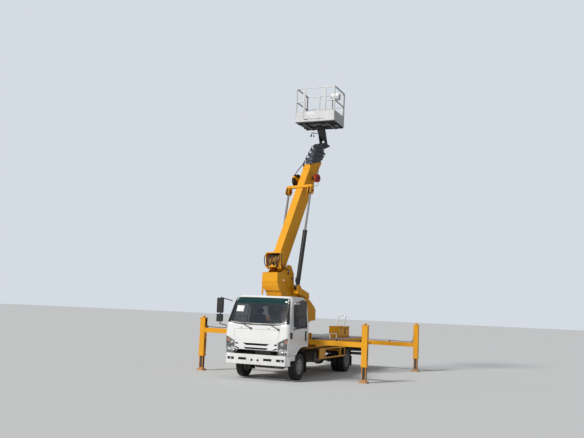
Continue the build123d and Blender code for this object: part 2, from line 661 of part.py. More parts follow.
GUARD_Y = (1320, 3820)
GUARD_Z = (560, 890)
GUARD_BAR = 40
GUARD_POSTS_Y = (1780, 3380, GUARD_Y[1] - GUARD_BAR)
guards = []
for turn in (1, -1):
    bars = [block(GUARD_X, (GUARD_Y[0], GUARD_POSTS_Y[0]), GUARD_Z)]
    for z in (GUARD_Z[0], GUARD_Z[1] - GUARD_BAR):
        bars.append(block(GUARD_X, GUARD_Y, (z, z + GUARD_BAR)))
    for y in GUARD_POSTS_Y:
        bars.append(block(GUARD_X, (y, y + GUARD_BAR), GUARD_Z))
    for y in (1900, 3300):
        bars.append(block((RAIL_OUT_X, GUARD_X[0] + 2), (y, y + GUARD_BAR), (740, 780)))
        bars.append(block((GUARD_X[0] - 20, GUARD_X[0] + 2), (y, y + GUARD_BAR), GUARD_Z))
    whole = joined(bars)
    guards.append(whole if turn > 0 else mirrored(whole))
save("side_guards", *guards)

for turn in (1, -1):
    for x0, x1 in ((560, 680), (690, 810), (820, 930)):
        x = (turn * x0, turn * x1) if turn > 0 else (-x1, -x0)
        lamps.append(block(x, (TAIL_Y - 40, TAIL_Y - 8), (625, 735)))
save("lamps", *lamps)

# Turret: two cheeks joined by bent plates, on a ring
base = Pos(0, 0, RING_Z + RING_H + GAP + 12) * Cylinder(RING_R + 20, 24)
CHEEK_POINTS = [
    (-420, 1478), (420, 1478), (430, 1640), (520, 1715), (640, 1730), (800, 1740), (800, 1900), (800, 2085),
    (700, 2195), (570, 2300), (420, 2410), (250, 2500), (-100, 2660), (-400, 2800), (-440, 2870),
    (-470, 3200), (-620, 3445), (-790, 3468), (-930, 3340), (-1060, 3213), (-1300, 3200), (-1300, 2930),
    (-1250, 2780), (-1170, 2640), (-1100, 2590), (-985, 2320), (-960, 1990), (-940, 1860), (-440, 1640),
]
cheeks = joined([side(CHEEK_POINTS, x, x + CHEEK) for x in (-CHEEK_X, CHEEK_X - CHEEK)])
SLOT_POINTS = [(-1030, 3000), (-930, 2980), (-470, 2570), (-550, 2490)]
cheeks -= side(SLOT_POINTS, -CHEEK_X - 1, CHEEK_X + 1)
# Plates bent along the cheeks' edges: the nose, the front wall with its window, the rear cover
BENDS = (
    # first and last point of the stretch
    (19, 27),
    (7, 12),
)
for first, last in BENDS:
    for (y0, z0), (y1, z1) in zip(CHEEK_POINTS[first:last], CHEEK_POINTS[first + 1:last + 1]):
        run = hypot(y1 - y0, z1 - z0)
        ny, nz = -(z1 - z0) / run * PLATE, (y1 - y0) / run * PLATE
        run_points = [(y0, z0), (y1, z1), (y1 + ny, z1 + nz), (y0 + ny, z0 + nz)]
        cheeks += side(run_points, -CHEEK_X + 1, CHEEK_X - 1)
        y, z = y1 + ny / 2, z1 + nz / 2
        cheeks += bar((-CHEEK_X + 1, y, z), (CHEEK_X - 1, y, z), PLATE / 2)
cheeks -= block((-220, 220), (-1100, -900), (1900, 2250))
cheeks += block((-CHEEK_X + 1, CHEEK_X - 1), (-430, 430), (1560, 1560 + PLATE))
cheeks += block((-CHEEK_X + 1, CHEEK_X - 1), (-440, 440), (2050, 2050 + PLATE))
for corner in both((CHEEK_X - CHEEK - 60, CHEEK_X - 1), (-440, -380), (1560, 2060)):
    cheeks += corner
pivot_hole = bar((-400, PIVOT_R, PIVOT_Z), (400, PIVOT_R, PIVOT_Z), PIVOT_PIN_R + PIN_PLAY)
for x in (-1, 1):
    cheeks += bar((x * (CHEEK_X - CHEEK), PIVOT_R, PIVOT_Z), (x * (CHEEK_X + 18), PIVOT_R, PIVOT_Z), 95)
cheeks -= pivot_hole
BRACKET = [
    (-570, 2648), (70, 2508), (40, 2608), (-380, 2748),
    (-400, 2818), (-480, 2853), (-550, 2818), (-590, 2768),
]
BRACE = [(-540, 2568), (70, 2438), (70, 2528), (-540, 2658)]
fork_in = BASE_EYE_W / 2 + FORK_PLAY
forks = []
for x in (1, -1):
    for a in (CYL_X - fork_in - FORK, CYL_X + fork_in):
        lo, hi = sorted((x * a, x * (a + FORK)))
        forks.append(side(BRACKET, lo, hi))
    lo, hi = sorted((x * (CHEEK_X - 1), x * (CYL_X + fork_in + FORK)))
    forks.append(side(BRACE, lo, hi))
    lo, hi = sorted((x * (CYL_X - fork_in - FORK), x * (CYL_X + fork_in + FORK + 10)))
    forks.append(bar((lo, BASE_PIN_R, BASE_PIN_Z), (hi, BASE_PIN_R, BASE_PIN_Z), PIN_R))
GRAB_R = -1220
grab_x = -CHEEK_X - 25
grab = bar((grab_x, GRAB_R, 2528), (grab_x, GRAB_R, 3028), 17)
for r, z in ((GRAB_R, 3010), (-1150, 2700)):
    grab += bar((grab_x, r, z), (-CHEEK_X + 1, r, z), 11)
grab += bar((grab_x, GRAB_R, 2700), (grab_x, -1150, 2700), 11)
save("turret", TURRET * joined([cheeks, base, grab] + forks))


# Boom: nested box sections, each with a collar, drawn along its own axis

def box_section(n):
    """Width, top and bottom of section n, which shrinks by one step each time."""
    shrink = n * BOOM_STEP / 2
    return BOOM_W / 2 - shrink, BOOM_TOP - shrink, BOOM_TOP - BOOM_H + shrink


def along(x, u, s):
    return block(x, s, u)


def boom_section(n):
    """Tube with a raked end, its collar, and the lugs on it."""
    half, top, low = box_section(n)
    end, rake, collar_l, lug = SECTIONS[n]
    start = BOOM_ROOT if n == 0 else SECTION_START + 40 * n
    w, c = BOOM_WALL, COLLAR if n else FIRST_COLLAR
    tube = side([(start, low), (end + rake, low), (end, top), (start, top)], -half, half)
    hollow = along((-half + w, half - w), (low + w, top - w), (start - 1, end + rake + 1))
    back = end - collar_l
    ring_points = [(back, top + c), (end, top + c), (end + rake, low - c), (back + rake, low - c)]
    ring = side(ring_points, -half - c, half + c)
    if lug:
        ring += along((-40, 40), (low - lug, low), (end + rake - 50, end + rake - 10))
        for x in (-half - c - 14, half + c - 4):
            ring += along((x, x + 18), (top - 60, top - 20), (end - 70, end - 30))
    return tube + ring - hollow


base_section = boom_section(0)
half, top, low = box_section(0)
root = side([(-110, 350), (250, 590), (340, 590), (440, top - 2), (440, 350)], -CHEEK_X, CHEEK_X)
root -= side([(-130, 366), (250, 640), (325, 574), (410, 440), (410, 366)], -CHEEK_X + 16, CHEEK_X - 16)
root -= along((-half + 6, half - 6), (300, 436), (-200, 400))
foot = [bar((x * (half - 50), 0, 0), (x * (CHEEK_X - CHEEK - FORK_PLAY), 0, 0), 85) for x in (1, -1)]
foot += [along((x - 25, x + 25), (0, 120), (-70, 250)) for x in (half - 25, 25 - half)]
fork_x = EYE_W / 2 + FORK_PLAY
FORK_POINTS = [(-110, -73), (40, -93), (190, 7), (190, 97), (90, 127), (-110, 97)]
rod_outline = [(ROD_PIN_S + y, ROD_PIN_U + z) for y, z in FORK_POINTS]
plates = []
for x in (1, -1):
    for a in (CYL_X - fork_x - 20, CYL_X + fork_x):
        lo, hi = sorted((x * a, x * (a + 20)))
        plates.append(side(rod_outline, lo, hi))
arm_x = CYL_X + fork_x + 20
bridge = along((-arm_x, arm_x), (top - 14, top + 30), (ROD_PIN_S + 95, ROD_PIN_S + 190))
for x in ((-arm_x, -half + 2), (half - 2, arm_x)):
    bridge += along(x, (top - 100, top + 30), (ROD_PIN_S + 150, ROD_PIN_S + 190))
HOSE_REEL = (3260, 346)
CABLE_REEL = (3465, 130)
reels = [
    bar((-half + 2, *HOSE_REEL), (-300, *HOSE_REEL), 30),
    bar((-350, *HOSE_REEL), (-255, *HOSE_REEL), HOSE_REEL_R),
    bar((half - 2, *CABLE_REEL), (345, *CABLE_REEL), 24),
    bar((285, *CABLE_REEL), (365, *CABLE_REEL), CABLE_REEL_R),
]
hollow = along((-half + BOOM_WALL, half - BOOM_WALL), (low + BOOM_WALL, top - BOOM_WALL), (-300, 5000))
base_all = joined([base_section, root, bridge] + foot + plates + reels) - hollow
pin = bar((-CHEEK_X - 40, 0, 0), (CHEEK_X + 40, 0, 0), PIVOT_PIN_R)
save("boom_section_1", BOOM * (base_all + pin))
HEAD_PLATE = 16
HEAD_POINTS = [
    (4680, 340), (4850, -70), (4990, -70), (5060, -230), (5110, -230), (5080, -40), (5030, 70), (4780, 350),
]
for n in range(1, len(SECTIONS)):
    solid = boom_section(n)
    if n == len(SECTIONS) - 1:
        half = box_section(n)[0]
        solid += side(HEAD_POINTS, -half - HEAD_PLATE, -half + 1)
        solid += side(HEAD_POINTS, half - 1, half + HEAD_PLATE)
        pin_x = half + HEAD_PLATE + 34
        solid += bar((-pin_x, LEVEL_S, LEVEL_U), (pin_x, LEVEL_S, LEVEL_U), 26)
    save(f"boom_section_{n + 1}", BOOM * solid)

# Luffing cylinders: barrel on the turret's brackets, rod up to the boom's cross bar
pin_y = PIVOT_R + ROD_PIN_S * cos(radians(BOOM_REST)) - ROD_PIN_U * sin(radians(BOOM_REST))
pin_z = PIVOT_Z + ROD_PIN_S * sin(radians(BOOM_REST)) + ROD_PIN_U * cos(radians(BOOM_REST))
cyl_length = hypot(pin_y - BASE_PIN_R, pin_z - BASE_PIN_Z)
cyl_tilt = degrees(atan2(pin_z - BASE_PIN_Z, pin_y - BASE_PIN_R))
CYL = TURRET * Pos(0, BASE_PIN_R, BASE_PIN_Z) * Rot(cyl_tilt, 0, 0)
barrels, rods = [], []
for x in (CYL_X, -CYL_X):
    eye = bar((x - BASE_EYE_W / 2, 0, 0), (x + BASE_EYE_W / 2, 0, 0), EYE_R)
    eye -= bar((x - BASE_EYE_W, 0, 0), (x + BASE_EYE_W, 0, 0), PIN_R + PIN_PLAY)
    neck = bar((x, EYE_R - 8, 0), (x, 110, 0), 40)
    barrel = bar((x, 100, 0), (x, BARREL_L, 0), BARREL_R) - bar((x, 130, 0), (x, BARREL_L + 1, 0), ROD_R + 6)
    barrels.append(CYL * (eye + neck + barrel))
    stem = bar((x, 800, 0), (x, cyl_length - EYE_R + 8, 0), ROD_R)
    end = bar((x - EYE_W / 2, cyl_length, 0), (x + EYE_W / 2, cyl_length, 0), EYE_R)
    rods.append(CYL * (stem + end))
save("luff_barrels", *barrels)
save("luff_rods", *rods)


# Platform: a levelled bracket under the boom's head, and the basket that turns on it
LEVEL = BOOM * Pos(0, LEVEL_S, LEVEL_U) * Rot(-BOOM_REST, 0, 0)
half = box_section(len(SECTIONS) - 1)[0]
post_points = [
    (-75, -60), (75, -60), (90, 60), (-70, 520), (-130, 610), (-400, 610), (-400, 560),
    (-240, 500), (-190, 430), (-75, 60),
]
post_in = half + HEAD_PLATE + 8
post_out = post_in + 22
head_room = [(-300, 416), (-220, 416), (-14, 185), (300, 185), (300, -200), (-300, -200)]
bracket = side(post_points, -post_out, post_out) - side(head_room, -post_out - 1, post_out + 1)
for lo, hi in ((-post_out, -post_in), (post_in, post_out)):
    bracket += side(post_points, lo, hi)
bracket -= bar((-200, 0, 0), (200, 0, 0), 27)
bracket += Pos(0, BASKET_R, 625) * Cylinder(130, 40)
save("basket_bracket", LEVEL * bracket)

BASKET = LEVEL * Pos(0, BASKET_R, BASKET_Z) * Rot(0, 0, SLEW_REST)
bx, by = BASKET_X / 2, BASKET_Y / 2
turntable = Pos(0, 0, -18) * Cylinder(150, 36)
floor_frame = block((-bx, bx), (-by, by), (0, 60))
t = TUBE
bars = [floor_frame, turntable]
for x in (-bx, GATE_X[0] - t, GATE_X[1], bx - t):
    bars.append(block((x, x + t), (-by, -by + t), (60, BASKET_H)))
for x in (-bx, -250, 210, bx - t):
    bars.append(block((x, x + t), (by - t, by), (60, BASKET_H)))
for x in (-bx, bx - t):
    bars.append(block((x, x + t), (by - 3 * t, by - 2 * t), (60, BASKET_H)))
RAILS = ((KICK_H, 26), (MID_RAIL_Z, 34), (BASKET_H - t, t))
walls = [((-bx, bx), (by - t, by)), ((-bx, -bx + t), (-by, by)), ((bx - t, bx), (-by, by))]
walls += [((-bx, GATE_X[0]), (-by, -by + t)), ((GATE_X[1], bx), (-by, -by + t))]
for z, h in RAILS:
    bars += [block(x, y, (z, z + h)) for x, y in walls]
KICK_SHEET = 4
walls = [
    ((-bx, bx), (by - KICK_SHEET, by)),
    ((-bx, -bx + KICK_SHEET), (-by, by)),
    ((bx - KICK_SHEET, bx), (-by, by)),
]
walls += [((-bx, GATE_X[0]), (-by, -by + KICK_SHEET)), ((GATE_X[1], bx), (-by, -by + KICK_SHEET))]
bars += [block(x, y, (30, KICK_H + 20)) for x, y in walls]
bars.append(block((250, 560), (by - t - 170, by - t + 1), (BASKET_H - 230, BASKET_H - 30)))
save("basket", BASKET * joined(bars))
g0, g1 = GATE_X[0] + GAP, GATE_X[1] - GAP
gate = [block((x, x + 30), (-by + 5, -by + 35), (90, BASKET_H - GAP)) for x in (g0, g1 - 30)]
for z in (90, KICK_H, BASKET_H - 36):
    gate.append(block((g0, g1), (-by + 5, -by + 35), (z, z + 26)))
gate.append(block((g0, g1), (-by + 5, -by + 9), (90, KICK_H + 20)))
save("basket_gate", BASKET * joined(gate))

# Where the joints are
place("front_axle", (FRONT_TYRE_X, 0, TYRE_R))
place("rear_axle", (0, WHEELBASE, TYRE_R))
place("kingpin", (KINGPIN_X, 0, TYRE_R))
place("door_hinge", HINGE)
place("slew", (0, SLEW_Y, RING_Z))
place("luff", (BOOM * Pos(0, 0, 0)).position)
place("luff_far", (BOOM * Pos(0, 1000, 0)).position)
place("turret_across", (TURRET * Pos(1000, 0, 0)).position)
place("barrel", (TURRET * Pos(0, BASE_PIN_R, BASE_PIN_Z)).position)
place("rod_pin", (BOOM * Pos(0, ROD_PIN_S, ROD_PIN_U)).position)
place("level", LEVEL.position)
place("basket", BASKET.position)
place("gate_hinge", (BASKET * Pos(GATE_X[1] - GAP, -by + 38, 600)).position)
print("cylinder length", round(cyl_length, 1), "tilt", round(cyl_tilt, 2))
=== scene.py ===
from math import cos, pi, radians, sin

import bmesh
import bpy
from mathutils import Matrix, Vector


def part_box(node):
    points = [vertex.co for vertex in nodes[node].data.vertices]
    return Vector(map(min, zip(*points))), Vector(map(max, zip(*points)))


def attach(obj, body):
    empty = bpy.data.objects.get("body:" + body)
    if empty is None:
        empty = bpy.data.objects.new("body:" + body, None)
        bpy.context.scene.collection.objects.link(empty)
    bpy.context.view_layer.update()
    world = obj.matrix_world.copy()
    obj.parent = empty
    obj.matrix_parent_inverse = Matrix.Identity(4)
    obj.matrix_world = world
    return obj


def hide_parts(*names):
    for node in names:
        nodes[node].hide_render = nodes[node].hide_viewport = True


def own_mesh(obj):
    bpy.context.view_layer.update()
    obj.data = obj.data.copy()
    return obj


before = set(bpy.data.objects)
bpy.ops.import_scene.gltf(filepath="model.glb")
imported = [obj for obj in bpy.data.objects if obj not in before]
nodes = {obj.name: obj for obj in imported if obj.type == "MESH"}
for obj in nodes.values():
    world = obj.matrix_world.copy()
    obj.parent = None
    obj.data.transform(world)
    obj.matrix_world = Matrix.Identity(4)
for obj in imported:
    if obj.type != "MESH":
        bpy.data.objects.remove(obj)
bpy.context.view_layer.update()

scene = bpy.context.scene

# Camera, floor and light. The truck stands on a plain pale floor, seen from its front left at a
# little over head height, under one broad soft lamp from its front and in an even pale surround.
CAMERA_AT = Vector((9.07, -23.09, 2.09))
CAMERA_YAW = radians(22.81)
CAMERA_PITCH = radians(7.03)
CAMERA_ROLL = radians(2.4)
PHOTO_WIDTH_PX = 584
FOCUS_PX = 726.8
SENSOR_MM = 36

ahead = Vector((-sin(CAMERA_YAW) * cos(CAMERA_PITCH), cos(CAMERA_YAW) * cos(CAMERA_PITCH),
                sin(CAMERA_PITCH)))
level_right = Vector((cos(CAMERA_YAW), sin(CAMERA_YAW), 0))
level_up = level_right.cross(ahead)
right = level_right * cos(CAMERA_ROLL) + level_up * sin(CAMERA_ROLL)
up = level_up * cos(CAMERA_ROLL) - level_right * sin(CAMERA_ROLL)
camera_data = bpy.data.cameras.new("camera")
camera_data.sensor_width = SENSOR_MM
camera_data.lens = SENSOR_MM * FOCUS_PX / PHOTO_WIDTH_PX
camera_data.clip_end = 500
camera = bpy.data.objects.new("camera", camera_data)
turned = Matrix((right, up, -ahead)).transposed().to_4x4()
camera.matrix_world = Matrix.Translation(CAMERA_AT) @ turned
scene.collection.objects.link(camera)
scene.camera = camera
scene.view_settings.view_transform = "Standard"

BACKDROP = (0.66, 0.71, 0.77, 1)
FLOOR_PALE = (0.62, 0.64, 0.66, 1)
FLOOR_HALF = 150
LAMP_STRENGTH = 3.05
LAMP_SPREAD = radians(12)
LAMP_TILT = radians(52)
LAMP_TURN = radians(-24)
LAMP_COLOUR = (1.0, 0.97, 0.92)
SURROUND_COLOUR = (0.93, 0.96, 1.0, 1)
SURROUND = 0.30
lamp_data = bpy.data.lights.new("soft_lamp", "SUN")
lamp_data.energy = LAMP_STRENGTH
lamp_data.angle = LAMP_SPREAD
lamp_data.color = LAMP_COLOUR
soft_lamp = bpy.data.objects.new("soft_lamp", lamp_data)
soft_lamp.rotation_euler = (LAMP_TILT, 0, LAMP_TURN)
scene.collection.objects.link(soft_lamp)

world = bpy.data.worlds.new("surround")
scene.world = world
world.use_nodes = True
sky = world.node_tree
sky.nodes.clear()
even = sky.nodes.new("ShaderNodeBackground")
even.inputs["Color"].default_value = SURROUND_COLOUR
even.inputs["Strength"].default_value = SURROUND
seen = sky.nodes.new("ShaderNodeBackground")
seen.inputs["Color"].default_value = BACKDROP
seen.inputs["Strength"].default_value = 1
rays = sky.nodes.new("ShaderNodeLightPath")
either = sky.nodes.new("ShaderNodeMath")
either.operation = "MAXIMUM"
mixed = sky.nodes.new("ShaderNodeMixShader")
shown = sky.nodes.new("ShaderNodeOutputWorld")
sky.links.new(rays.outputs["Is Camera Ray"], either.inputs[0])
sky.links.new(rays.outputs["Is Transmission Ray"], either.inputs[1])
sky.links.new(either.outputs[0], mixed.inputs[0])
sky.links.new(even.outputs[0], mixed.inputs[1])
sky.links.new(seen.outputs[0], mixed.inputs[2])
sky.links.new(mixed.outputs[0], shown.inputs[0])

floor_form = bmesh.new()
bmesh.ops.create_grid(floor_form, x_segments=1, y_segments=1, size=FLOOR_HALF)
floor_mesh = bpy.data.meshes.new("floor")
floor_form.to_mesh(floor_mesh)
floor_form.free()
floor = bpy.data.objects.new("floor", floor_mesh)
scene.collection.objects.link(floor)
floor_look = bpy.data.materials.new("pale_floor")
floor_look.use_nodes = True
floor_shader = floor_look.node_tree.nodes["Principled BSDF"]
floor_shader.inputs["Base Color"].default_value = FLOOR_PALE
floor_shader.inputs["Roughness"].default_value = 0.9
floor_mesh.materials.append(floor_look)


# Chassis frame. Two pressed steel channels with bolted cross members, sprayed satin black at the
# works, which picks up road dust, most of it low down. A rusty silencer hangs beside the right one.
class Level:
    """One value that varies over a surface; plain signs add its Math nodes."""

    def __init__(self, finish, socket):
        self.finish = finish
        self.socket = socket

    def sum(self, operation, *others):
        terms = dict(enumerate((self,) + others))
        return self.finish.node("ShaderNodeMath", {"operation": operation}, terms)

    def __add__(self, other):
        return self.sum("ADD", other)

    __radd__ = __add__

    def __mul__(self, other):
        return self.sum("MULTIPLY", other)

    __rmul__ = __mul__

    def __sub__(self, other):
        return self.sum("SUBTRACT", other)

    def __rsub__(self, other):
        return (self * -1) + other

    def __gt__(self, other):
        return self.sum("GREATER_THAN", other)

    def __lt__(self, other):
        return self.sum("LESS_THAN", other)

    def size(self):
        return self.sum("ABSOLUTE")

    def clipped(self):
        return self.finish.node("ShaderNodeClamp", {}, {"Value": self})


class Finish:
    """A material built up from values that are drawn from the object's own coordinates."""

    def __init__(self, name, colour, roughness, metallic=0.0):
        self.material = bpy.data.materials.new(name)
        self.material.use_nodes = True
        self.tree = self.material.node_tree
        self.shader = self.tree.nodes["Principled BSDF"]
        self.set("Base Color", colour)
        self.set("Roughness", roughness)
        self.set("Metallic", metallic)
        self.place = self.node("ShaderNodeTexCoord", {}, {}, "Object")

    def node(self, kind, settings, values, output=0):
        made = self.tree.nodes.new(kind)
        for name, value in settings.items():
            setattr(made, name, value)
        for name, value in values.items():
            self.feed(made.inputs[name], value)
        return Level(self, made.outputs[output])

    def feed(self, socket, value):
        if isinstance(value, Level):
            self.tree.links.new(value.socket, socket)
        elif socket.type == "RGBA":
            socket.default_value = (*value, 1)
        else:
            socket.default_value = value

    def set(self, name, value):
        self.feed(self.shader.inputs[name], value)

    def axes(self):
        apart = self.node("ShaderNodeSeparateXYZ", {}, {"Vector": self.place})
        tree_node = apart.socket.node
        return [Level(self, tree_node.outputs[n]) for n in range(3)]

    def noise(self, scale, detail=3.0, stretch=(1, 1, 1)):
        where = self.node("ShaderNodeMapping", {}, {"Vector": self.place, "Scale": stretch})
        return self.node("ShaderNodeTexNoise", {}, {"Vector": where, "Scale": scale, "Detail": detail})

    def ramp(self, value, low, high):
        """0 below low, 1 above high, even between."""
        return self.node("ShaderNodeMapRange", {"clamp": True},
                         {"Value": value, "From Min": low, "From Max": high})

    def mix(self, share, first, second):
        made = self.node("ShaderNodeMix", {"data_type": "RGBA"}, {0: share, 6: first, 7: second})
        return Level(self, made.socket.node.outputs[2])

    def bump(self, height, distance):
        self.set("Normal", self.node("ShaderNodeBump", {}, {"Height": height, "Distance": distance}))


DUST = (0.30, 0.26, 0.21)


def painted(name, colour, roughness=0.35, dust=0.35, dust_top=1.1, coat=0.0, gloss=0.5):
    """Sprayed steel: faint orange peel, sun-faded clouds, rain streaks and dust that thins out upwards."""
    paint = Finish(name, colour, roughness)
    height = paint.axes()[2]
    clouds = paint.noise(1.3, 4)
    streaks = paint.noise(9, 3, (1, 1, 0.12))
    grit = paint.noise(60, 4)
    low = 1 - paint.ramp(height, 0.1, dust_top)
    film = (low * dust + 0.05) * paint.ramp(streaks + clouds * 0.6, 0.55, 1.0)
    faded = paint.mix(paint.ramp(clouds, 0.35, 0.7) * 0.35, colour, tuple(c * 0.80 for c in colour))
    paint.set("Base Color", paint.mix(film.clipped(), faded, DUST))
    paint.set("Roughness", (film * 0.45 + grit * 0.10 + (roughness - 0.05)).clipped())
    paint.set("Coat Weight", coat)
    paint.set("Specular IOR Level", gloss)
    paint.bump(paint.noise(420, 2) + grit * 0.4, 0.0004)
    return paint.material


def dressed(names, material):
    """Give CAD pieces a finish."""
    for name in names:
        mesh = nodes[name].data
        mesh.materials.clear()
        mesh.materials.append(material)


front_low, front_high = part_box("tyre_front_left")
TRUCK = Matrix.Translation((0, (front_low.y + front_high.y) / 2, 0))


def rounded_off(form, verts, width):
    """Round the edges of what these points bound."""
    if width:
        edges = list(dict.fromkeys(edge for vert in verts for edge in vert.link_edges))
        bmesh.ops.bevel(form, geom=edges, offset=width, segments=2, profile=0.5, affect="EDGES",
                        clamp_overlap=True, material=-1)


def about(middle, half):
    """The two values this far below and above a middle one."""
    return (middle - half, middle + half)


def box(form, x, y, z, at=TRUCK, bevel=0.0):
    """Add a block between two values on each axis, its edges rounded."""
    made = bmesh.ops.create_cube(form, size=1)["verts"]
    bmesh.ops.scale(form, vec=(x[1] - x[0], y[1] - y[0], z[1] - z[0]), verts=made)
    bmesh.ops.translate(form, vec=((x[0] + x[1]) / 2, (y[0] + y[1]) / 2, (z[0] + z[1]) / 2), verts=made)
    bmesh.ops.transform(form, matrix=at, verts=made)
    rounded_off(form, made, bevel)


def rod(form, start, end, radius, at=TRUCK, tip=None, sides=24):
    """Add a round bar or cone between two points."""
    start, end = at @ Vector(start), at @ Vector(end)
    line = end - start
    made = bmesh.ops.create_cone(form, cap_ends=True, segments=sides, radius1=radius,
                                 radius2=radius if tip is None else tip, depth=line.length)["verts"]
    turn = line.to_track_quat("Z", "Y").to_matrix().to_4x4()
    bmesh.ops.transform(form, matrix=Matrix.Translation((start + end) / 2) @ turn, verts=made)


def bolt(form, spot, out, across=0.022, at=TRUCK):
    """Add a hexagon head on a washer, standing out of a face."""
    spot, out = Vector(spot), Vector(out).normalized()
    rod(form, spot - out * 0.001, spot + out * 0.003, across * 0.75, at, sides=16)
    rod(form, spot, spot + out * across * 0.45, across / 2, at, sides=6)


def lathe(form, outline, centre, axis, at=TRUCK, steps=48):
    """Add a turned form: outline holds (radius, distance along the axis) and closes on itself."""
    axis = Vector(axis).normalized()
    across = axis.orthogonal().normalized()
    made = [form.verts.new(Vector(centre) + across * radius + axis * along) for radius, along in outline]
    edges = [form.edges.new((a, b)) for a, b in zip(made, made[1:] + made[:1])]
    bmesh.ops.spin(form, geom=made + edges, cent=Vector(centre), axis=axis, angle=2 * pi, steps=steps,
                   use_merge=True)
    turned = set()
    waiting = [vert for vert in made if vert.is_valid]
    while waiting:
        vert = waiting.pop()
        if vert not in turned:
            turned.add(vert)
            waiting += [edge.other_vert(vert) for edge in vert.link_edges]
    bmesh.ops.transform(form, matrix=at, verts=list(turned))


JOINED_WITHIN = 0.00002
SMOOTH_BELOW = radians(32)


def piece(name, form, material, body, replaces=()):
    """Finish a form as a piece that rides on a body."""
    bmesh.ops.remove_doubles(form, verts=form.verts, dist=JOINED_WITHIN)
    bmesh.ops.recalc_face_normals(form, faces=form.faces)
    mesh = bpy.data.meshes.new(name)
    form.to_mesh(mesh)
    form.free()
    mesh.materials.append(material)
    mesh.shade_smooth()
    mesh.set_sharp_from_angle(angle=SMOOTH_BELOW)
    made = bpy.data.objects.new(name, mesh)
    scene.collection.objects.link(made)
    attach(made, body)
    if replaces:
        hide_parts(*replaces)
    return made


frame_black = painted("chassis_black", (0.022, 0.022, 0.024), 0.5, dust=0.8, dust_top=1.0)
dressed(["chassis_frame"], frame_black)
RAIL_X = 0.425
CROSS_MEMBERS_Y = (-0.86, 1.01, 2.30, 3.50, 4.85, 5.95)
FRAME_BOLT = 0.02
frame_bolts = bmesh.new()
for side in (1, -1):
    for cross_y in CROSS_MEMBERS_Y:
        for y in about(cross_y, 0.045):
            for z in (0.66, 0.74):
                bolt(frame_bolts, (side * RAIL_X, y, z), (side, 0, 0), FRAME_BOLT)
    for z in (0.49, 0.53):
        bolt(frame_bolts, (side * 0.85, 6.56, z), (0, -1, 0), FRAME_BOLT)
piece("frame_bolts", frame_bolts, frame_black, "chassis")

SILENCER_X, SILENCER_Z = -0.62, 0.62
SILENCER_BANDS_Y = (2.12, 2.58)
silencer = bmesh.new()
lathe(silencer, [(0.0, -0.40), (0.10, -0.40), (0.125, -0.375), (0.125, 0.375), (0.10, 0.40), (0.0, 0.40)],
      (SILENCER_X, 2.35, SILENCER_Z), (0, 1, 0))
rod(silencer, (SILENCER_X, 1.95, SILENCER_Z), (-0.30, 1.0, 0.60), 0.036)
rod(silencer, (SILENCER_X, 2.74, SILENCER_Z), (-0.66, 3.35, 0.56), 0.034)
for y in SILENCER_BANDS_Y:
    box(silencer, (-0.64, -0.42), about(y, 0.02), (0.72, 0.78), bevel=0.004)
    lathe(silencer, [(0.1255, -0.015), (0.131, -0.015), (0.131, 0.015), (0.1255, 0.015)],
          (SILENCER_X, y, SILENCER_Z), (0, 1, 0))
pipe_steel = Finish("pipe_steel", (0.18, 0.15, 0.13), 0.6, 0.7)
rust = pipe_steel.noise(14, 5)
pipe_steel.set("Base Color", pipe_steel.mix(pipe_steel.ramp(rust, 0.4, 0.65), (0.20, 0.18, 0.17),
                                            (0.16, 0.075, 0.035)))
pipe_steel.set("Roughness", rust * 0.4 + 0.4)
pipe_steel.bump(rust, 0.001)
piece("silencer", silencer, pipe_steel.material, "chassis")


# Axles, springs and knuckles. Forged and pressed steel, black when new and grey with dust; each
# spring is clamped to its axle by two U-bolts, and a telescopic damper stands beside it.
axle_black = painted("axle_black", (0.03, 0.03, 0.032), 0.55, dust=0.9, dust_top=1.0)
dressed(["front_axle", "rear_axle", "knuckle_left", "knuckle_right"], axle_black)
engine_grey = painted("engine_grey", (0.16, 0.16, 0.17), 0.5, dust=0.7, dust_top=1.2)
dressed(["driveline"], engine_grey)
WHEELBASE = 4.175
SPRING_X = 0.391
AXLES = (
    # axle's y, top of the U-bolts, their low end
    (0, 0.478, 0.345),
    (WHEELBASE, 0.56, 0.30),
)
clamps = bmesh.new()
for side in (1, -1):
    spring_x = side * SPRING_X
    for y, top, low in AXLES:
        for clamp_y in about(y, 0.062):
            for x in about(spring_x, 0.046):
                rod(clamps, (x, clamp_y, low), (x, clamp_y, top), 0.009, sides=10)
                rod(clamps, (x, clamp_y, low + 0.004), (x, clamp_y, low + 0.022), 0.016, sides=6)
            box(clamps, about(spring_x, 0.055), about(clamp_y, 0.009), (top - 0.004, top + 0.014),
                bevel=0.004)
        box(clamps, about(spring_x, 0.06), about(y, 0.08), (low, low + 0.012), bevel=0.003)
    for foot, head in (((0.52, 0.09, 0.40), (0.44, 0.20, 0.74)),
                       ((0.50, WHEELBASE - 0.16, 0.40), (0.44, WHEELBASE - 0.34, 0.76))):
        low_end = Vector((side * foot[0], foot[1], foot[2]))
        high_end = Vector((side * head[0], head[1], head[2]))
        middle = low_end.lerp(high_end, 0.5)
        rod(clamps, low_end, middle, 0.024)
        rod(clamps, middle, high_end, 0.031)
piece("spring_clamps", clamps, axle_black, "chassis")


# Tyres. Moulded radial tyres, 0.78 m across on 17.5 inch rims, with four grooves round the tread,
# cross cuts on the shoulders and raised rings on the side walls.
TYRE_R = 0.391
rubber = Finish("tyre_rubber", (0.028, 0.028, 0.030), 0.75)
scuffs = rubber.noise(22, 5)
road_film = rubber.noise(3.5, 4)
greyed = rubber.ramp(scuffs + road_film, 0.75, 1.35) * 0.5
rubber.set("Base Color", rubber.mix(greyed, (0.016, 0.016, 0.018), (0.062, 0.057, 0.052)))
rubber.set("Roughness", scuffs * 0.25 + 0.62)
rubber.bump(rubber.noise(160, 3), 0.0008)

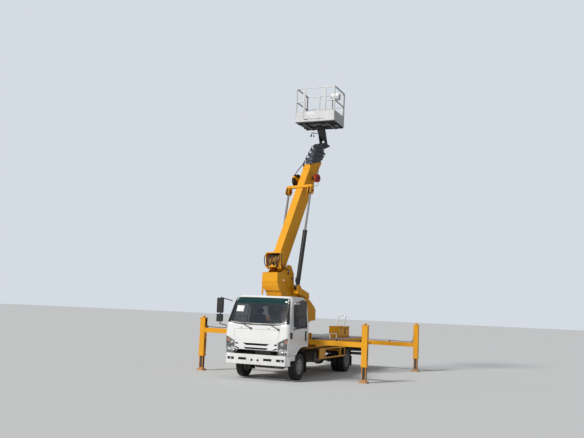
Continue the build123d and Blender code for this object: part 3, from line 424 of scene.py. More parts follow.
TREAD_CUT = 0.011
TREAD_STEPS = 144
SHOULDER_IN, SHOULDER_OUT = 0.062, 0.1
CUT_EVERY = 3
HALF_TREAD = [(-0.098, 0.003), (-0.060, 0.0), (-0.058, TREAD_CUT), (-0.050, TREAD_CUT), (-0.048, 0.0),
              (-0.022, 0.0), (-0.020, TREAD_CUT), (-0.012, TREAD_CUT), (-0.010, 0.0)]
WALL = [(0.108, 0.018), (0.1105, 0.045), (0.1125, 0.075), (0.1125, 0.083), (0.1129, 0.086), (0.1129, 0.092),
        (0.1115, 0.095), (0.108, 0.125), (0.1085, 0.131), (0.104, 0.134), (0.094, 0.1655)]
tyre_outline = [(TYRE_R - cut, along) for along, cut in HALF_TREAD]
tyre_outline += [(radius, -along) for radius, along in reversed(tyre_outline)]
tyre_outline += [(TYRE_R - cut, along) for along, cut in WALL]
tyre_outline += [(TYRE_R - cut, -along) for along, cut in reversed(WALL)]


def tyre(form, x, y):
    """Add a tyre, with cross cuts pressed into both shoulders of its tread."""
    lathe(form, tyre_outline, (x, y, TYRE_R), (1, 0, 0), steps=TREAD_STEPS)
    centre = TRUCK @ Vector((x, y, TYRE_R))
    cuts = []
    for face in form.faces:
        spot = face.calc_center_median() - centre
        pitch = Vector((0, 1)).angle_signed(Vector((spot.y, spot.z))) / (2 * pi) * TREAD_STEPS
        if Vector((0, spot.y, spot.z)).length > TYRE_R - 0.004 and SHOULDER_OUT > abs(spot.x) > SHOULDER_IN:
            if int(pitch + TREAD_STEPS) % CUT_EVERY == 0:
                cuts.append(face)
    for face in bmesh.ops.extrude_discrete_faces(form, faces=cuts)["faces"]:
        for vert in face.verts:
            spot = vert.co - centre
            vert.co -= Vector((0, spot.y, spot.z)).normalized() * TREAD_CUT * 0.8


LEFT_RIGHT = ("left", "right")
FRONT_TYRE_X = 0.850
TWIN_X = (0.694, 0.947)
for side, name in zip((1, -1), LEFT_RIGHT):
    form = bmesh.new()
    tyre(form, side * FRONT_TYRE_X, 0)
    piece(f"front_tyre_{name}", form, rubber.material, f"wheel_front_{name}",
          [f"tyre_front_{name}"])
    form = bmesh.new()
    for x in TWIN_X:
        tyre(form, side * x, WHEELBASE)
    piece(f"rear_tyres_{name}", form, rubber.material, f"wheels_rear_{name}",
          [f"tyres_rear_{name}"])


# Rims. Pressed steel discs, sprayed silver-grey, held by six nuts each; the rear nuts sit in the
# dished twin discs. Hub caps are stamped, with a bolted flange on the driven axle.
rim_grey = painted("rim_silver", (0.50, 0.51, 0.54), 0.34, dust=0.3, dust_top=0.9)
dressed(["rim_front_left", "rim_front_right", "rims_rear_left", "rims_rear_right"], rim_grey)
nut_steel = Finish("nut_steel", (0.30, 0.30, 0.31), 0.4, 0.8)
nut_grime = nut_steel.noise(35, 4)
nut_steel.set("Base Color", nut_steel.mix(nut_grime, (0.42, 0.42, 0.43), (0.12, 0.10, 0.085)))
nut_steel.set("Roughness", nut_grime * 0.3 + 0.28)
nut_steel.bump(nut_grime, 0.0005)
NUT_CIRCLE_R = 0.113
FLANGE_CIRCLE_R = 0.06
HUB_CAP = [(0.0, 0.106), (0.045, 0.106), (0.058, 0.092), (0.070, 0.088), (0.070, 0.070), (0.0, 0.070)]
AXLE_FLANGE = [(0.0, 0.028), (0.050, 0.028), (0.074, 0.018), (0.074, 0.0), (0.0, 0.0)]
RIM_BEAD = [(0.205, 0.100), (0.212, 0.094), (0.222, 0.101), (0.228, 0.094), (0.233, 0.098), (0.224, 0.110),
            (0.208, 0.108)]


def circle(middle, radius, count, first=0.0):
    """Evenly spaced (y, z) places round a wheel's middle."""
    turns = [radians(first + 360 / count * n) for n in range(count)]
    return [(middle + radius * cos(turn), TYRE_R + radius * sin(turn)) for turn in turns]


def wheel_nuts(form, side, middle, x, nut_end, stud_end):
    """Add six hexagon nuts with their studs, standing out of a disc."""
    for y, z in circle(middle, NUT_CIRCLE_R, 6):
        rod(form, (side * x, y, z), (side * nut_end, y, z), 0.017, sides=6)
        rod(form, (side * nut_end, y, z), (side * stud_end, y, z), 0.010, tip=0.008, sides=12)


for side, name in zip((1, -1), LEFT_RIGHT):
    nuts = bmesh.new()
    hub = (side * FRONT_TYRE_X, 0, TYRE_R)
    wheel_nuts(nuts, side, 0, 0.892, 0.922, 0.938)
    lathe(nuts, HUB_CAP, hub, (side, 0, 0), steps=36)
    rod(nuts, (side * 0.90, 0.18, TYRE_R), (side * 0.945, 0.186, TYRE_R), 0.006, sides=10)
    lathe(nuts, RIM_BEAD, hub, (side, 0, 0), steps=60)
    piece(f"front_nuts_{name}", nuts, nut_steel.material, f"wheel_front_{name}")
    nuts = bmesh.new()
    hub = (side * TWIN_X[1], WHEELBASE, TYRE_R)
    wheel_nuts(nuts, side, WHEELBASE, 0.846, 0.874, 0.886)
    lathe(nuts, AXLE_FLANGE, hub, (side, 0, 0), steps=36)
    for y, z in circle(WHEELBASE, FLANGE_CIRCLE_R, 8, 10):
        bolt(nuts, (side * 0.966, y, z), (side, 0, 0), 0.014)
    lathe(nuts, RIM_BEAD, hub, (side, 0, 0), steps=60)
    piece(f"rear_nuts_{name}", nuts, nut_steel.material, f"wheels_rear_{name}")


# Cab shell and doors. Pressed panels with a hard white gloss coat. The front panel below the screen is
# let in with narrow gaps; the doors' handle recesses, mirrors and arms are black moulded plastic.
CAB_WHITE = (0.80, 0.81, 0.82)
cab_white = painted("cab_white", CAB_WHITE, 0.22, dust=0.5, dust_top=1.0, coat=0.4)
dressed(["cab_shell", "front_bumper"], cab_white)


def moulded(name, colour, roughness=0.55, grain=700):
    """Injection-moulded plastic with a fine leather grain and a little dust."""
    plastic = Finish(name, colour, roughness)
    dull = plastic.noise(6, 4)
    plastic.set("Base Color", plastic.mix(plastic.ramp(dull, 0.4, 0.8) * 0.35, colour,
                                          tuple(c * 1.6 + 0.02 for c in colour)))
    plastic.set("Roughness", dull * 0.2 + (roughness - 0.1))
    plastic.bump(plastic.noise(grain, 2), 0.0003)
    return plastic.material


MOULDED_BLACK = (0.018, 0.018, 0.020)
black_plastic = moulded("black_plastic", MOULDED_BLACK)
dressed(["grille", "steps_and_mudguards"], black_plastic)

MIRROR_ARMS_OUT = 1.034
RECESS_OUT = 0.99
RECESS_Y, RECESS_HALF_L = 0.255, 0.066
RECESS_Z, RECESS_HALF_H = 1.2925, 0.1285
door_skin = Finish("door_skin", CAB_WHITE, 0.22)
across, along, high = door_skin.axes()
clouds = door_skin.noise(1.3, 4)
handle = (across.size() > RECESS_OUT) * ((along - (TRUCK.translation.y + RECESS_Y)).size() < RECESS_HALF_L)
handle = handle * ((high - RECESS_Z).size() < RECESS_HALF_H)
black_part = ((across.size() > MIRROR_ARMS_OUT) + handle).clipped()
low_film = (1 - door_skin.ramp(high, 0.85, 1.3)) * 0.3 * door_skin.ramp(door_skin.noise(9, 3), 0.4, 0.9)
white_part = door_skin.mix(low_film, CAB_WHITE, DUST)
door_skin.set("Base Color", door_skin.mix(black_part, white_part, MOULDED_BLACK))
door_skin.set("Roughness", black_part * 0.28 + low_film * 0.3 + clouds * 0.06 + 0.19)
door_skin.bump(door_skin.noise(420, 2), 0.0004)
dressed(["door_left", "door_right"], door_skin.material)

CAB_ROWS = (
    # height, front's y, half width, corner's radius
    (0.750, -1.062, 1.005, 0.110),
    (1.180, -1.082, 1.020, 0.120),
    (1.590, -1.035, 1.012, 0.120),
    (2.300, -0.730, 0.935, 0.120),
    (2.440, -0.590, 0.840, 0.130),
)


def cab_row(z):
    """Front's y, half width and corner's radius of the cab at a height."""
    for low_row, high_row in zip(CAB_ROWS, CAB_ROWS[1:]):
        if z <= high_row[0]:
            break
    share = (z - low_row[0]) / (high_row[0] - low_row[0])
    return [first + (second - first) * share for first, second in zip(low_row[1:], high_row[1:])]


def front_y(z):
    """How far forward the cab's middle reaches at a height."""
    return cab_row(z)[0]


def side_x(z):
    """How far out the cab's side stands at a height."""
    return cab_row(z)[1]


def skin_y(x, z):
    """Where the cab's front skin is, round its corner too."""
    front, half, corner = cab_row(z)
    past = min(max(0, abs(x) - (half - corner)), corner)
    return front + corner - (corner ** 2 - past ** 2) ** 0.5


def hose(form, points, radius, at=TRUCK, closed=False, sides=3):
    """Add a round hose, tube or bead that runs smoothly by these points."""
    curve = bpy.data.curves.new("route", "CURVE")
    curve.dimensions = "3D"
    curve.bevel_depth = radius
    curve.bevel_resolution = sides
    curve.use_fill_caps = not closed
    spline = curve.splines.new("NURBS")
    spline.points.add(len(points) - 1)
    for spot, point in zip(spline.points, points):
        spot.co = (*(at @ Vector(point)), 1)
    spline.order_u = 3
    spline.use_endpoint_u = not closed
    spline.use_cyclic_u = closed
    spline.resolution_u = 6
    holder = bpy.data.objects.new("route", curve)
    mesh = bpy.data.meshes.new_from_object(holder)
    form.from_mesh(mesh)
    bpy.data.meshes.remove(mesh)
    bpy.data.objects.remove(holder)
    bpy.data.curves.remove(curve)


rubber_seal = moulded("seal_rubber", (0.012, 0.012, 0.013), 0.6, 300)
SCREEN_HALF = [(0.0, 1.590), (0.5, 1.592), (0.75, 1.613), (0.955, 1.634), (0.974, 1.655), (0.948, 1.80),
               (0.915, 2.00), (0.885, 2.19), (0.862, 2.300), (0.842, 2.345), (0.810, 2.366), (0.4, 2.372)]
SCREEN_EDGE = SCREEN_HALF + [(-x, z) for x, z in reversed(SCREEN_HALF[1:])]
REAR_WINDOW_Y = 0.575
REAR_WINDOW_EDGE = [(-0.62, 1.70), (-0.62, 1.92), (-0.62, 2.13), (-0.6, 2.15), (0, 2.15), (0.6, 2.15),
                    (0.62, 2.13), (0.62, 1.92), (0.62, 1.70), (0.6, 1.68), (0, 1.68), (-0.6, 1.68)]
seals = bmesh.new()
hose(seals, [(x, skin_y(x, z) + 0.004, z) for x, z in SCREEN_EDGE], 0.015, closed=True)
hose(seals, [(x, REAR_WINDOW_Y, z) for x, z in REAR_WINDOW_EDGE], 0.014, closed=True)
piece("screen_seals", seals, rubber_seal, "chassis")

PANEL_EDGE = [(-0.66, 1.20), (-0.705, 1.26), (-0.715, 1.34), (-0.715, 1.43), (-0.69, 1.455), (-0.35, 1.458),
              (0.0, 1.46), (0.35, 1.458), (0.69, 1.455), (0.715, 1.43), (0.715, 1.34), (0.705, 1.26),
              (0.66, 1.20)]
PANEL_SIDE = [(0.66, 1.20), (0.672, 1.12), (0.678, 1.0), (0.680, 0.87)]
PANEL_FOOT_Z = 0.868
GAP_R = 0.0035
gaps = bmesh.new()
hose(gaps, [(x, front_y(z) + 0.0015, z) for x, z in PANEL_EDGE], GAP_R)
hose(gaps, [(x, front_y(PANEL_FOOT_Z) + 0.001, PANEL_FOOT_Z) for x in (-0.66, -0.3, 0.3, 0.66)], 0.004)
for side in (1, -1):
    hose(gaps, [(side * x, front_y(z) + 0.0015, z) for x, z in PANEL_SIDE], GAP_R)
piece("front_panel_gaps", gaps, rubber_seal, "chassis")


# Wipers. Two black arms on pivots below the screen, parked with their blades along its bottom edge,
# and two washer jets on the panel beside them.
PIVOT_Z, KNEE_Z, TIP_Z, BLADE_Z = 1.485, 1.52, 1.575, 1.605
ARM_REACH = -0.24
JET_Z = 1.49
wipers = bmesh.new()
for pivot_x in (-0.19, 0.69):
    pivot_y = front_y(PIVOT_Z)
    tip_x = pivot_x + ARM_REACH
    jet_x = pivot_x - 0.31
    rod(wipers, (pivot_x, pivot_y + 0.01, PIVOT_Z), (pivot_x, pivot_y - 0.035, PIVOT_Z), 0.02)
    box(wipers, about(pivot_x, 0.03), (pivot_y - 0.045, pivot_y - 0.02), about(PIVOT_Z, 0.022), bevel=0.008)
    hose(wipers, [(pivot_x, pivot_y - 0.036, PIVOT_Z),
                  (pivot_x + ARM_REACH * 0.3, front_y(KNEE_Z) - 0.05, KNEE_Z),
                  (tip_x, front_y(TIP_Z) - 0.038, TIP_Z + 0.02)], 0.009)
    blade_x = (tip_x - 0.30, tip_x, tip_x + 0.28)
    blade = [(x, front_y(BLADE_Z) - 0.016, BLADE_Z + 0.002 + 0.02 * abs(x) ** 3) for x in blade_x]
    hose(wipers, blade, 0.008)
    hose(wipers, [(x, y + 0.008, z - 0.004) for x, y, z in blade], 0.005)
    box(wipers, about(tip_x, 0.03), (front_y(1.6) - 0.04, front_y(1.6) - 0.012), (1.592, 1.62), bevel=0.006)
    rod(wipers, (jet_x, front_y(JET_Z) + 0.005, JET_Z), (jet_x, front_y(JET_Z) - 0.016, JET_Z + 0.005),
        0.017, tip=0.011)
piece("wipers", wipers, black_plastic, "chassis")


# Head lamps. A clear moulded cover over chromed bowls with their bulbs, an amber flasher behind ribs
# at the outer top, and a black tray at the back of each lamp.
clear = Finish("clear_lens", (0.82, 0.86, 0.88), 0.05)
clear.set("Alpha", 0.07)
clear.set("Coat Weight", 0.6)
clear.bump(clear.noise(3, 1), 0.0004)
LENS_WALL = 0.003
lens = bmesh.new()
lens.from_mesh(nodes["lamps"].data)
bmesh.ops.remove_doubles(lens, verts=lens.verts, dist=0.0002)
drop = []
for face in lens.faces:
    spot = face.calc_center_median()
    if spot.y > 0 or not (face.normal.y < -0.35 or face.normal.x * spot.x > 0.45):
        drop.append(face)
bmesh.ops.delete(lens, geom=drop, context="FACES")
bmesh.ops.solidify(lens, geom=lens.faces[:], thickness=LENS_WALL)
piece("head_lamp_covers", lens, clear.material, "chassis", ["lamps"])


def plate(form, outline, start, end, at=TRUCK, bevel=0.0):
    """Add a plate with an outline of (y, z) values, thick along X from start to end."""
    made = [form.verts.new((start, a, b)) for a, b in outline]
    face = form.faces.new(made)
    raised = bmesh.ops.extrude_face_region(form, geom=[face])["geom"]
    far = [part for part in raised if isinstance(part, bmesh.types.BMVert)]
    bmesh.ops.translate(form, vec=(end - start, 0, 0), verts=far)
    bmesh.ops.transform(form, matrix=at, verts=made + far)
    rounded_off(form, made + far, bevel)


def sided(side, near, far):
    """The two values of a part on the truck's left, or of its mirror image on the right, in order."""
    return sorted((side * near, side * far))


def bowl(form, centre, radius, depth):
    """Add a thin round reflector, open to the front."""
    shares = [0.2 + 0.16 * n for n in range(6)]
    rings = [(radius * share, -depth * share ** 2) for share in shares]
    outer = [(ring_r + 0.003, along + 0.002) for ring_r, along in reversed(rings)]
    lathe(form, rings + outer, centre, (0, 1, 0), steps=40)


ACROSS = TRUCK @ Matrix.Rotation(pi / 2, 4, "Z")
TRAY = [(0.685, 0.752), (0.972, 0.752), (0.992, 1.243), (0.90, 1.218), (0.685, 1.108)]
LAMP_BOWLS = (
    # middle's x and height, radius, depth
    (0.775, 0.868, 0.072, 0.055),
    (0.905, 0.866, 0.056, 0.050),
    (0.800, 1.065, 0.050, 0.045),
)
trays, bowls, flashers, bulbs = bmesh.new(), bmesh.new(), bmesh.new(), bmesh.new()
for side in (1, -1):
    plate(trays, [(-side * x, z) for x, z in TRAY], -0.975, -0.967, ACROSS)
    box(trays, sided(side, 0.70, 0.96), (-1.042, -0.97), (0.985, 1.0), bevel=0.003)
    for x, z, radius, depth in LAMP_BOWLS:
        bowl(bowls, (side * x, -0.982, z), radius, depth)
        rod(bulbs, (side * x, -0.98, z), (side * x, -1.004, z), 0.011, tip=0.008, sides=16)
    bowl(flashers, (side * 0.915, -0.975, 1.125), 0.046, 0.04)
    for n in range(4):
        z = 1.10 + 0.028 * n
        box(flashers, sided(side, 0.87, 0.955 + 0.002 * n), (-1.012, -1.004), (z, z + 0.010), bevel=0.003)
piece("head_lamp_trays", trays, black_plastic, "chassis")
mirror_coat = Finish("mirror_coat", (0.86, 0.87, 0.88), 0.08, 1.0)
ripple = mirror_coat.noise(30, 2)
mirror_coat.set("Roughness", ripple * 0.12 + 0.04)
mirror_coat.bump(ripple, 0.0004)
piece("head_lamp_bowls", bowls, mirror_coat.material, "chassis")
amber = Finish("amber_lens", (0.85, 0.26, 0.01), 0.18)
amber_depth = amber.noise(45, 2)
amber.set("Base Color", amber.mix(amber_depth, (0.80, 0.27, 0.03), (0.52, 0.13, 0.012)))
amber.set("Roughness", amber_depth * 0.15 + 0.1)
amber.bump(amber.noise(90, 1), 0.0006)
piece("flashers", flashers, amber.material, "chassis")
bulb_glass = Finish("bulb_glass", (0.75, 0.78, 0.8), 0.1)
bulb_glass.set("Roughness", bulb_glass.noise(40, 1) * 0.1 + 0.05)
piece("head_lamp_bulbs", bulbs, bulb_glass.material, "chassis")


# Rear lamps. Three-chamber lamps on the tail bar: red tail and stop, clear reverse, amber flasher,
# with moulded ribs across each lens.
TAIL_Y = 6.62
TAIL_CHAMBERS = ((0.56, 0.68), (0.69, 0.81), (0.82, 0.93))
CLEAR_FROM_X, CLEAR_TO_X = 0.685, 0.815
tail = Finish("tail_lens", (0.45, 0.01, 0.01), 0.15)
reach = tail.axes()[0].size()
ambered = tail.mix(reach > CLEAR_TO_X, (0.48, 0.012, 0.010), (0.85, 0.27, 0.015))
clear_part = (reach > CLEAR_FROM_X) * (reach < CLEAR_TO_X)
tail.set("Base Color", tail.mix(clear_part, ambered, (0.72, 0.73, 0.74)))
tail.set("Roughness", tail.noise(60, 2) * 0.15 + 0.08)
tail.bump(tail.noise(140, 1), 0.0005)
tails, backs = bmesh.new(), bmesh.new()
for side in (1, -1):
    for inner_x, outer_x in TAIL_CHAMBERS:
        low_x, high_x = sided(side, inner_x, outer_x)
        box(tails, (low_x + 0.004, high_x - 0.004), (TAIL_Y - 0.028, TAIL_Y - 0.010), (0.629, 0.731),
            bevel=0.006)
        for n in range(5):
            z = 0.640 + 0.019 * n
            box(tails, (low_x + 0.010, high_x - 0.010), (TAIL_Y - 0.012, TAIL_Y - 0.0085), (z, z + 0.009),
                bevel=0.002)
        box(backs, (low_x, high_x), (TAIL_Y - 0.040, TAIL_Y - 0.022), (0.625, 0.735), bevel=0.004)
piece("tail_lenses", tails, tail.material, "chassis")
piece("tail_lamp_backs", backs, black_plastic, "chassis")


# Glass. Laminated screen with a black fired edge and a green shade band along its top, which a strip
# carries over the header; the door and rear panes are plain tinted glass.
GLASS_DARK = (0.028, 0.042, 0.058)
SHADE_GREEN = (0.004, 0.062, 0.055)
FIRED_BLACK = (0.006, 0.006, 0.007)
FRONT_PANE_Y = -2.9
SHADE_Z = (2.17, 2.27)
EDGE_Z, EDGE_RISE = 1.632, 0.045
EDGE_X, EDGE_FOOT_Z, EDGE_LEAN = 0.928, 1.635, 0.164
screen = Finish("screen_glass", GLASS_DARK, 0.03)
across, along, high = screen.axes()
front_pane = along < FRONT_PANE_Y
shade = screen.ramp(high, *SHADE_Z) * front_pane
reach = across.size()
low_edge = high - screen.ramp(reach, 0.5, 0.975) * EDGE_RISE < EDGE_Z
side_edge = reach + (high - EDGE_FOOT_Z) * EDGE_LEAN > EDGE_X
edge = (low_edge + side_edge).clipped() * front_pane
smear = screen.noise(5, 4)
screen.set("Base Color", screen.mix(edge, screen.mix(shade, GLASS_DARK, SHADE_GREEN), FIRED_BLACK))
screen.set("Roughness", edge * 0.25 + smear * 0.05 + 0.015)
screen.set("Alpha", (edge + shade * 0.35 + 0.42).clipped())
screen.set("Coat Weight", 0.3)
dressed(["cab_glass"], screen.material)

HEADER_ROWS = ((2.262, 0.872), (2.285, 0.868), (2.300, 0.862), (2.330, 0.850), (2.352, 0.838),
               (2.370, 0.800))
HEADER_STEPS = 24
header = bmesh.new()
rows = []
for z, half in HEADER_ROWS:
    spots = [half * (2 * n / HEADER_STEPS - 1) for n in range(HEADER_STEPS + 1)]
    rows.append([header.verts.new(TRUCK @ Vector((x, skin_y(x, z) - 0.004, z))) for x in spots])
for low_row, high_row in zip(rows, rows[1:]):
    for n in range(HEADER_STEPS):
        header.faces.new((low_row[n], low_row[n + 1], high_row[n + 1], high_row[n]))
band_glass = Finish("band_glass", (0.004, 0.045, 0.042), 0.05)
band_haze = band_glass.noise(5, 4)
band_glass.set("Base Color", band_glass.mix(band_haze, (0.004, 0.050, 0.046), (0.006, 0.036, 0.036)))
band_glass.set("Roughness", band_haze * 0.05 + 0.02)
piece("screen_band", header, band_glass.material, "chassis")

pane = Finish("door_glass", GLASS_DARK, 0.03)
pane.set("Roughness", pane.noise(5, 4) * 0.05 + 0.015)
pane.set("Alpha", 0.45)
dressed(["door_glass_left", "door_glass_right"], pane.material)


# Notice card. A blank white card is stuck flat to the outside of the screen, near its upper corner on
# the truck's right, and leans back with it.
CARD_X, CARD_Z = -0.66, 2.04
SCREEN_LEAN = radians(-23.3)
CARD_AT = Matrix.Translation((CARD_X, front_y(CARD_Z) - 0.003, CARD_Z))
CARD = TRUCK @ CARD_AT @ Matrix.Rotation(SCREEN_LEAN, 4, "X")
card = bmesh.new()
box(card, about(0, 0.115), about(0, 0.001), about(0, 0.095), CARD, bevel=0.0006)
paper = Finish("card_paper", (0.78, 0.79, 0.80), 0.8)
fibre = paper.noise(220, 4)
paper.set("Base Color", paper.mix(fibre, (0.82, 0.83, 0.84), (0.70, 0.71, 0.73)))
paper.bump(fibre, 0.0002)
piece("notice_card", card, paper.material, "chassis")


# Mirrors and door seals. Flat silvered glass in black housings on a bent tube arm, two to a door; a
# rubber bead runs round each door's window, with a handle and a lock below it.
MIRROR_HEADS = (
    # inner x, outer x, low end, top
    (1.240, 1.435, 1.880, 2.330),
    (1.245, 1.430, 1.620, 1.850),
)
MIRROR_BACK_Y = -0.812
MIRROR_RIM = 0.016
MIRROR_POST_X = 1.330
WINDOW_EDGE = [(-0.71, 1.575), (-0.60, 1.562), (-0.44, 1.54), (-0.20, 1.538), (0.30, 1.538), (0.342, 1.55),
               (0.342, 1.85), (0.342, 2.19), (0.31, 2.204), (-0.10, 2.204), (-0.56, 2.204), (-0.60, 2.16),
               (-0.655, 1.88)]
for side, name in zip((1, -1), LEFT_RIGHT):
    glasses = bmesh.new()
    for x0, x1, z0, z1 in MIRROR_HEADS:
        box(glasses, sided(side, x0 + MIRROR_RIM, x1 - MIRROR_RIM),
            (MIRROR_BACK_Y - 0.002, MIRROR_BACK_Y + 0.003),
            (z0 + MIRROR_RIM, z1 - MIRROR_RIM), bevel=0.0015)
    piece(f"mirror_glass_{name}", glasses, mirror_coat.material, f"door_{name}")
    bead = bmesh.new()
    hose(bead, [(side * (side_x(z) - 0.004), y, z) for y, z in WINDOW_EDGE], 0.013, closed=True)
    hose(bead, [(side * (side_x(1.52) + 0.002), y, 1.525) for y in (-0.69, -0.3, 0.1, 0.345)], 0.007)
    piece(f"window_seal_{name}", bead, rubber_seal, f"door_{name}")
    trim = bmesh.new()
    for z0, z1 in ((1.87, 2.34), (1.61, 1.86)):
        rod(trim, (side * MIRROR_POST_X, -0.83, z0), (side * MIRROR_POST_X, -0.83, z1), 0.019, sides=16)
        box(trim, about(side * MIRROR_POST_X, 0.02), (-0.90, -0.874), about((z0 + z1) / 2, 0.05),
            bevel=0.008)
    rod(trim, (side * 0.99, -0.69, 1.475), (side * 1.012, -0.71, 1.478), 0.03)
    box(trim, sided(side, 1.010, 1.034), (0.205, 0.305), (1.405, 1.432), bevel=0.006)
    box(trim, sided(side, 1.012, 1.030), (0.205, 0.305), (1.150, 1.172), bevel=0.006)
    rod(trim, (side * 1.010, 0.255, 1.118), (side * 1.022, 0.255, 1.118), 0.013, sides=16)
    piece(f"door_trim_{name}", trim, black_plastic, f"door_{name}")


# Cab corners and mud flaps. Ribbed black vanes on the front corners, an amber marker low on each side,
# and rubber flaps hung behind the wheels from folded strips.
MUD_FLAPS = (
    # inner x, outer x, y from and to, height from and to, rounding
    (0.72, 0.98, 0.488, 0.494, 0.20, 0.60, 0.002),
    (0.57, 1.07, WHEELBASE + 0.50, WHEELBASE + 0.506, 0.18, 0.52, 0.002),
    (0.57, 1.07, WHEELBASE + 0.452, WHEELBASE + 0.512, 0.49, 0.52, 0.004),
    (0.72, 0.98, 0.470, 0.498, 0.555, 0.585, 0.004),
)
vanes, markers, flaps = bmesh.new(), bmesh.new(), bmesh.new()
for side in (1, -1):
    box(vanes, sided(side, 0.996, 1.027), (-0.955, -0.790), (1.225, 1.405), bevel=0.012)
    for n in range(3):
        z = 1.265 + 0.045 * n
        box(vanes, sided(side, 1.024, 1.031), (-0.94, -0.80), (z, z + 0.012), bevel=0.003)
    box(markers, sided(side, 1.002, 1.018), (-0.95, -0.88), (0.785, 0.815), bevel=0.006)
    for x0, x1, y0, y1, z0, z1, rounding in MUD_FLAPS:
        box(flaps, sided(side, x0, x1), (y0, y1), (z0, z1), bevel=rounding)
piece("corner_vanes", vanes, black_plastic, "chassis")
piece("side_markers", markers, amber.material, "chassis")
piece("mud_flaps", flaps, rubber_seal, "chassis")


# Bumper fittings. Fog lamps in black bezels at the bumper's ends, mesh behind its two middle openings,
# and a collar round each towing hole.
FOG_X, BUMPER_HOLES_Z = 0.80, 0.602
MESH_X = (0.274, 0.526)
bezels, fogs = bmesh.new(), bmesh.new()
for side in (1, -1):
    box(bezels, sided(side, 0.672, 0.898), (-1.052, -1.035), (0.568, 0.637), bevel=0.004)
    lathe(bezels, [(0.036, -0.012), (0.042, -0.012), (0.042, 0.012), (0.036, 0.012)],
          (side * FOG_X, -1.058, BUMPER_HOLES_Z), (0, 1, 0), steps=32)
    lathe(fogs, [(0.0, -0.014), (0.020, -0.012), (0.036, -0.004), (0.036, 0.004), (0.0, 0.004)],
          (side * FOG_X, -1.056, BUMPER_HOLES_Z), (0, 1, 0), steps=32)
    box(bezels, sided(side, *MESH_X), (-1.066, -1.060), (0.572, 0.638))
    for n in range(4):
        z = 0.580 + 0.015 * n
        box(bezels, sided(side, *MESH_X), (-1.080, -1.064), (z, z + 0.005), bevel=0.001)
    for n in range(9):
        x = 0.285 + 0.029 * n
        box(bezels, sided(side, x, x + 0.005), (-1.079, -1.064), (0.574, 0.636), bevel=0.001)
    lathe(bezels, [(0.030, -0.005), (0.040, -0.004), (0.040, 0.010), (0.030, 0.010)],
          (side * 0.095, -1.105, 0.580), (0, 1, 0), steps=32)
piece("bumper_bezels", bezels, black_plastic, "chassis")
piece("fog_lamps", fogs, mirror_coat.material, "chassis")


# Seats. Three cloth seats on black sheet stands, each with a crowned base and back, two sewn channels
# across them, and a head rest. The dashboard and wheel are grained plastic.
SEAT_X = ((0.308, 0.792), (-0.192, 0.192), (-0.792, -0.308))
SEAT_FLOOR_Z = 1.010
SEAT_BASE_Z = ENGINE_COVER_Z = SEAT_FLOOR_Z + 0.150
CORNER = 0.55
seat_cloth = Finish("seat_cloth", (0.055, 0.058, 0.065), 0.9)
across, along, high = seat_cloth.axes()
weave = (across * 1400).sum("SINE") * ((along + high) * 1400).sum("SINE")
worn = seat_cloth.noise(7, 4)
seat_cloth.set("Base Color", seat_cloth.mix(seat_cloth.ramp(worn, 0.35, 0.75), (0.045, 0.048, 0.055),
                                            (0.085, 0.088, 0.095)))
seat_cloth.set("Roughness", worn * 0.1 + 0.82)
seat_cloth.bump(weave + seat_cloth.noise(180, 2), 0.0006)


def cushion(name, x, y, z, crowned, at, replaced=()):
    """Stuffed pad between two values on each axis, crowned along one of them and sewn in two channels."""
    form = bmesh.new()
    bmesh.ops.create_cube(form, size=2)
    bmesh.ops.subdivide_edges(form, edges=form.edges[:], cuts=15, use_grid_fill=True)
    for vert in form.verts:
        flat = vert.co.copy()
        for i, j, k in ((0, 1, 2), (1, 2, 0), (2, 0, 1)):
            drawn_in = flat[j] ** 2 / 2 + flat[k] ** 2 / 2 - flat[j] ** 2 * flat[k] ** 2 / 3
            vert.co[i] = flat[i] * (1 - CORNER * drawn_in) ** 0.5
        for i in (0, 1, 2):
            if i != crowned:
                other = 3 - crowned - i
                vert.co[i] *= 0.97 + 0.03 * flat[other] ** 2
        channel = max(0, 1 - abs(abs(flat[0]) - 0.42) / 0.09)
        vert.co[crowned] *= 1 - 0.12 * channel
        for i, (first, last) in enumerate((x, y, z)):
            vert.co[i] = (first + last) / 2 + vert.co[i] * (last - first) / 2
    bmesh.ops.transform(form, matrix=at, verts=form.verts)
    made = piece(name, form, seat_cloth.material, "chassis", replaced)


BACK = TRUCK @ Matrix.Translation((0, 0.175, 1.335)) @ Matrix.Rotation(radians(-12), 4, "X")
stands = bmesh.new()
for seat_name, (x0, x1) in zip(("left", "middle", "right"), SEAT_X):
    cushion(f"seat_base_{seat_name}", (x0, x1), (-0.28, 0.17), (SEAT_BASE_Z, SEAT_FLOOR_Z + 0.335), 2,
            TRUCK, ["seats"])
    cushion(f"seat_back_{seat_name}", (x0, x1), about(0, 0.058), (-0.01, 0.58), 1, BACK)
    middle = (x0 + x1) / 2
    cushion(f"head_rest_{seat_name}", about(middle, 0.12), about(0, 0.042), (0.595, 0.74), 1, BACK)
    for x in about(middle, 0.06):
        rod(stands, (x, 0, 0.55), (x, 0, 0.63), 0.006, BACK, sides=10)
    low_z = ENGINE_COVER_Z if x0 < 0 < x1 else SEAT_FLOOR_Z
    box(stands, (x0 + 0.06, x1 - 0.06), (-0.20, 0.14), (low_z, SEAT_FLOOR_Z + 0.165), bevel=0.004)
piece("seat_stands", stands, black_plastic, "chassis", ["seats"])

dash_grey = moulded("dash_grey", (0.045, 0.047, 0.052), 0.6, 420)
dressed(["dashboard"], dash_grey)


